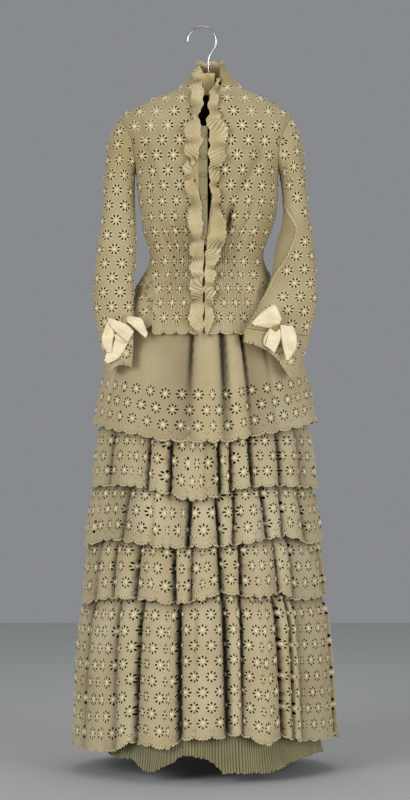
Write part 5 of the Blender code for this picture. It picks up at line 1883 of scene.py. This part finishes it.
def material_for(key):
    """Materials made once and shared by the pieces."""
    colours = bpy.context.scene.dress_colours
    if key not in MATERIALS:
        cotton = (colours.cloth, colours.cloth_faded, colours.stitch)
        makers = {
            "eyelet": lambda: eyelet_cotton("cotton_muslin", *cotton),
            "thread": lambda: stitched_thread("embroidery_cotton", "#cfc096", "#e3d7b2"),
            "edging": lambda: stitched_thread("edging_cotton", "#b3a47d", "#c9bb93"),
            "plain": lambda: plain_cotton("plain_cotton", "#968765", "#a3946f"),
            "stand": lambda: plain_cotton("button_stand_cotton", "#857c5e", "#938b6c"),
            "button": lambda: plain_cotton("button_cover_cotton", "#8a6f44", "#a08556"),
            # The knot's darker brown is painted shade, where the loops shade it.
            "knot": lambda: plain_cotton("knot_shaded_satin", "#a08452", "#c4ad7c"),
            # The ruffle's and the frill's third colour is the dark of their painted shade.
            "ruffle": lambda: plain_cotton("ruffle_cotton", "#867f5e", "#98916c", "#2a2818"),
            "frill": lambda: plain_cotton("ecru_cotton", "#bda97b", "#d9caa0", "#3a2c14", 0.8),
            "collar": lambda: plain_cotton("collar_cotton", "#9c8a5c", "#ab9c70"),
            # Painted shade for the foundation and the dark shells.
            "shade_backing": painted_shade_cotton,
            "satin": satin,
            "muslin": lambda: plain_cotton("white_muslin", "#f1eee2", "#fbf9f0"),
            "beech": beech,
            "chrome": chrome,
        }
        MATERIALS[key] = makers[key]()
    return MATERIALS[key]


def sheet_materials():
    """The materials of an eyelet sheet: its cloth, its embroidery and its hem's edging."""
    return [material_for(key) for key in ("eyelet", "thread", "edging")]


class DressColours(bpy.types.PropertyGroup):
    """Colours of the cloth, as hex codes."""

    cloth: bpy.props.StringProperty(name="Cloth", description="Colour of the cloth", default="#a29066")
    cloth_faded: bpy.props.StringProperty(name="Faded", description="Where it has faded", default="#b0a27b")
    stitch: bpy.props.StringProperty(name="Stitching", description="Round the eyelets", default="#d5c9a2")


class DressSizes(bpy.types.PropertyGroup):
    """Sizes that a user may change."""

    lens: bpy.props.FloatProperty(name="Lens", description="For a 36 mm high sensor", default=120.0)
    camera_distance: bpy.props.FloatProperty(
        name="Camera distance", description="From the dress's middle plane", default=5.2, unit="LENGTH")


class DRESS_OT_skirt(bpy.types.Operator):
    """Build the overskirt and the four flounces"""

    bl_idname = "dress.skirt"
    bl_label = "Skirt tiers"

    def execute(self, context):
        """Make each tier over the one above it."""
        above = None
        for tier in TIERS:
            above = TierShape(tier, above)
            make_tier(above, sheet_materials())
        make_foundation(material_for("shade_backing"))
        return {"FINISHED"}


class DRESS_OT_ruffle(bpy.types.Operator):
    """Build the pleated ruffle inside the hem"""

    bl_idname = "dress.ruffle"
    bl_label = "Dust ruffle"

    def execute(self, context):
        """Make the ruffle."""
        make_dust_ruffle(material_for("ruffle"))
        return {"FINISHED"}


class DRESS_OT_bodice(bpy.types.Operator):
    """Build the bodice's fronts and back"""

    bl_idname = "dress.bodice"
    bl_label = "Bodice"

    def execute(self, context):
        """Make both fronts and the back."""
        make_front(-1, "bodice_front_left", sheet_materials())
        make_front(1, "bodice_front_right", sheet_materials())
        make_back(sheet_materials())
        make_shade_shells(material_for("shade_backing"))
        make_pad_covers(material_for("muslin"))
        return {"FINISHED"}


class DRESS_OT_sleeves(bpy.types.Operator):
    """Build the sleeves and the frills below the wrists"""

    bl_idname = "dress.sleeves"
    bl_label = "Sleeves and cuffs"

    def execute(self, context):
        """Make both sleeves with their cuffs."""
        for sign, side in ((-1, "left"), (1, "right")):
            make_sleeve(sign, f"sleeve_{side}", sheet_materials(), material_for("plain"))
            make_cuff(sign, f"cuff_frill_{side}", sheet_materials())
        return {"FINISHED"}


class DRESS_OT_frills(bpy.types.Operator):
    """Build the collar and the ecru frills"""

    bl_idname = "dress.frills"
    bl_label = "Collar and frills"

    def execute(self, context):
        """Make the collar, its frill and both front frills."""
        make_collar(material_for("collar"), material_for("frill"))
        make_front_frill(-1, "front_frill_left", material_for("frill"))
        make_front_frill(1, "front_frill_right", material_for("frill"))
        return {"FINISHED"}


class DRESS_OT_buttons(bpy.types.Operator):
    """Build the button stand and its covered buttons"""

    bl_idname = "dress.buttons"
    bl_label = "Buttons"

    def execute(self, context):
        """Make the stand and the buttons."""
        make_placket(material_for("stand"))
        make_buttons(material_for("button"))
        return {"FINISHED"}


class DRESS_OT_bows(bpy.types.Operator):
    """Build the ribbon bows on the cuffs"""

    bl_idname = "dress.bows"
    bl_label = "Bows"

    def execute(self, context):
        """Make both bows."""
        make_bow("bow_left", KNOT_LEFT, PATCHES_LEFT, material_for("satin"), material_for("knot"))
        make_bow("bow_right", KNOT_RIGHT, PATCHES_RIGHT, material_for("satin"), material_for("knot"))
        return {"FINISHED"}


class DRESS_OT_hanger(bpy.types.Operator):
    """Build the padded hanger and its hook"""

    bl_idname = "dress.hanger"
    bl_label = "Hanger"

    def execute(self, context):
        """Make the hook and pads, and finish the block."""
        make_hook(material_for("chrome"))
        make_pads(material_for("muslin"))
        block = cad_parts["hanger_block"]
        block.data.materials.clear()
        block.data.materials.append(material_for("beech"))
        return {"FINISHED"}


class DRESS_OT_stage(bpy.types.Operator):
    """Set up the floor, the lights and the camera"""

    bl_idname = "dress.stage"
    bl_label = "Stage"

    def execute(self, context):
        """Make a paper floor, three soft lights and the camera."""
        sizes = context.scene.dress_sizes
        floor_z, reach = -1445.0, 3400.0
        across = np.linspace(-reach, reach, 9)
        rows = []
        for y in across[::-1]:
            rows.append([(x, y, floor_z) for x in across])
        grid = np.array(rows)
        paper = studio_paper("background_paper", "#bfc1bf")
        floor = grid_piece("paper_floor", grid, paper)
        lights = (
            ("key", (-2.9, -4.0, 0.35), 2.2, 135.0),
            ("fill", (3.0, -3.8, -0.3), 2.6, 118.0),
            ("top", (0.2, 0.6, 2.2), 2.0, 22.0),
        )
        for name, place, size, power in lights:
            light = bpy.data.lights.new(name, "AREA")
            light.size, light.energy = size, power
            item = link_object(name, light)
            item.location = place
            item.visible_camera = False
            aim = np.array([0, 0, -0.75]) - np.array(place)
            flat = math.hypot(aim[0], aim[1])
            item.rotation_euler = (math.atan2(flat, -aim[2]), 0, math.atan2(-aim[0], aim[1]))
        world = bpy.data.worlds.new("studio")
        bpy.context.scene.world = world
        world.use_nodes = True
        world.node_tree.nodes["Background"].inputs["Color"].default_value = (*linear("#c9ccd0"), 1)
        world.node_tree.nodes["Background"].inputs["Strength"].default_value = 0.42
        camera = bpy.data.cameras.new("camera")
        camera.sensor_fit = "VERTICAL"
        camera.sensor_height = 36.0
        camera.lens = sizes.lens
        item = link_object("camera", camera)
        item.location = (0.00585, -sizes.camera_distance, -0.7264)
        item.rotation_euler = (math.radians(90), 0, 0)
        bpy.context.scene.camera = item
        bpy.context.scene.view_settings.view_transform = "Standard"
        return {"FINISHED"}


OPERATORS = [
    DRESS_OT_stage, DRESS_OT_skirt, DRESS_OT_ruffle, DRESS_OT_bodice, DRESS_OT_sleeves, DRESS_OT_frills,
    DRESS_OT_buttons, DRESS_OT_bows, DRESS_OT_hanger,
]


class DRESS_PT_panel(bpy.types.Panel):
    """Sidebar panel that lists the dress's pieces"""

    bl_idname = "DRESS_PT_panel"
    bl_label = "Morning dress"
    bl_space_type = "VIEW_3D"
    bl_region_type = "UI"
    bl_category = "Dress"

    def draw(self, context):
        """List the sizes, the colours and a button for each group of pieces."""
        for group in (context.scene.dress_sizes, context.scene.dress_colours):
            for name in group.__annotations__:
                self.layout.prop(group, name)
        for operator in OPERATORS:
            self.layout.operator(operator.bl_idname)


CLASSES = [DressColours, DressSizes, *OPERATORS, DRESS_PT_panel]


def register():
    """Register the classes and their scene properties."""
    for item in CLASSES:
        bpy.utils.register_class(item)
    bpy.types.Scene.dress_colours = bpy.props.PointerProperty(type=DressColours)
    bpy.types.Scene.dress_sizes = bpy.props.PointerProperty(type=DressSizes)


def unregister():
    """Remove the classes and their scene properties."""
    del bpy.types.Scene.dress_colours
    del bpy.types.Scene.dress_sizes
    for item in reversed(CLASSES):
        bpy.utils.unregister_class(item)


def main():
    """Build every piece."""
    register()
    for operator in OPERATORS:
        group, name = operator.bl_idname.split(".")
        getattr(getattr(bpy.ops, group), name)()


if __name__ == "__main__":
    main()
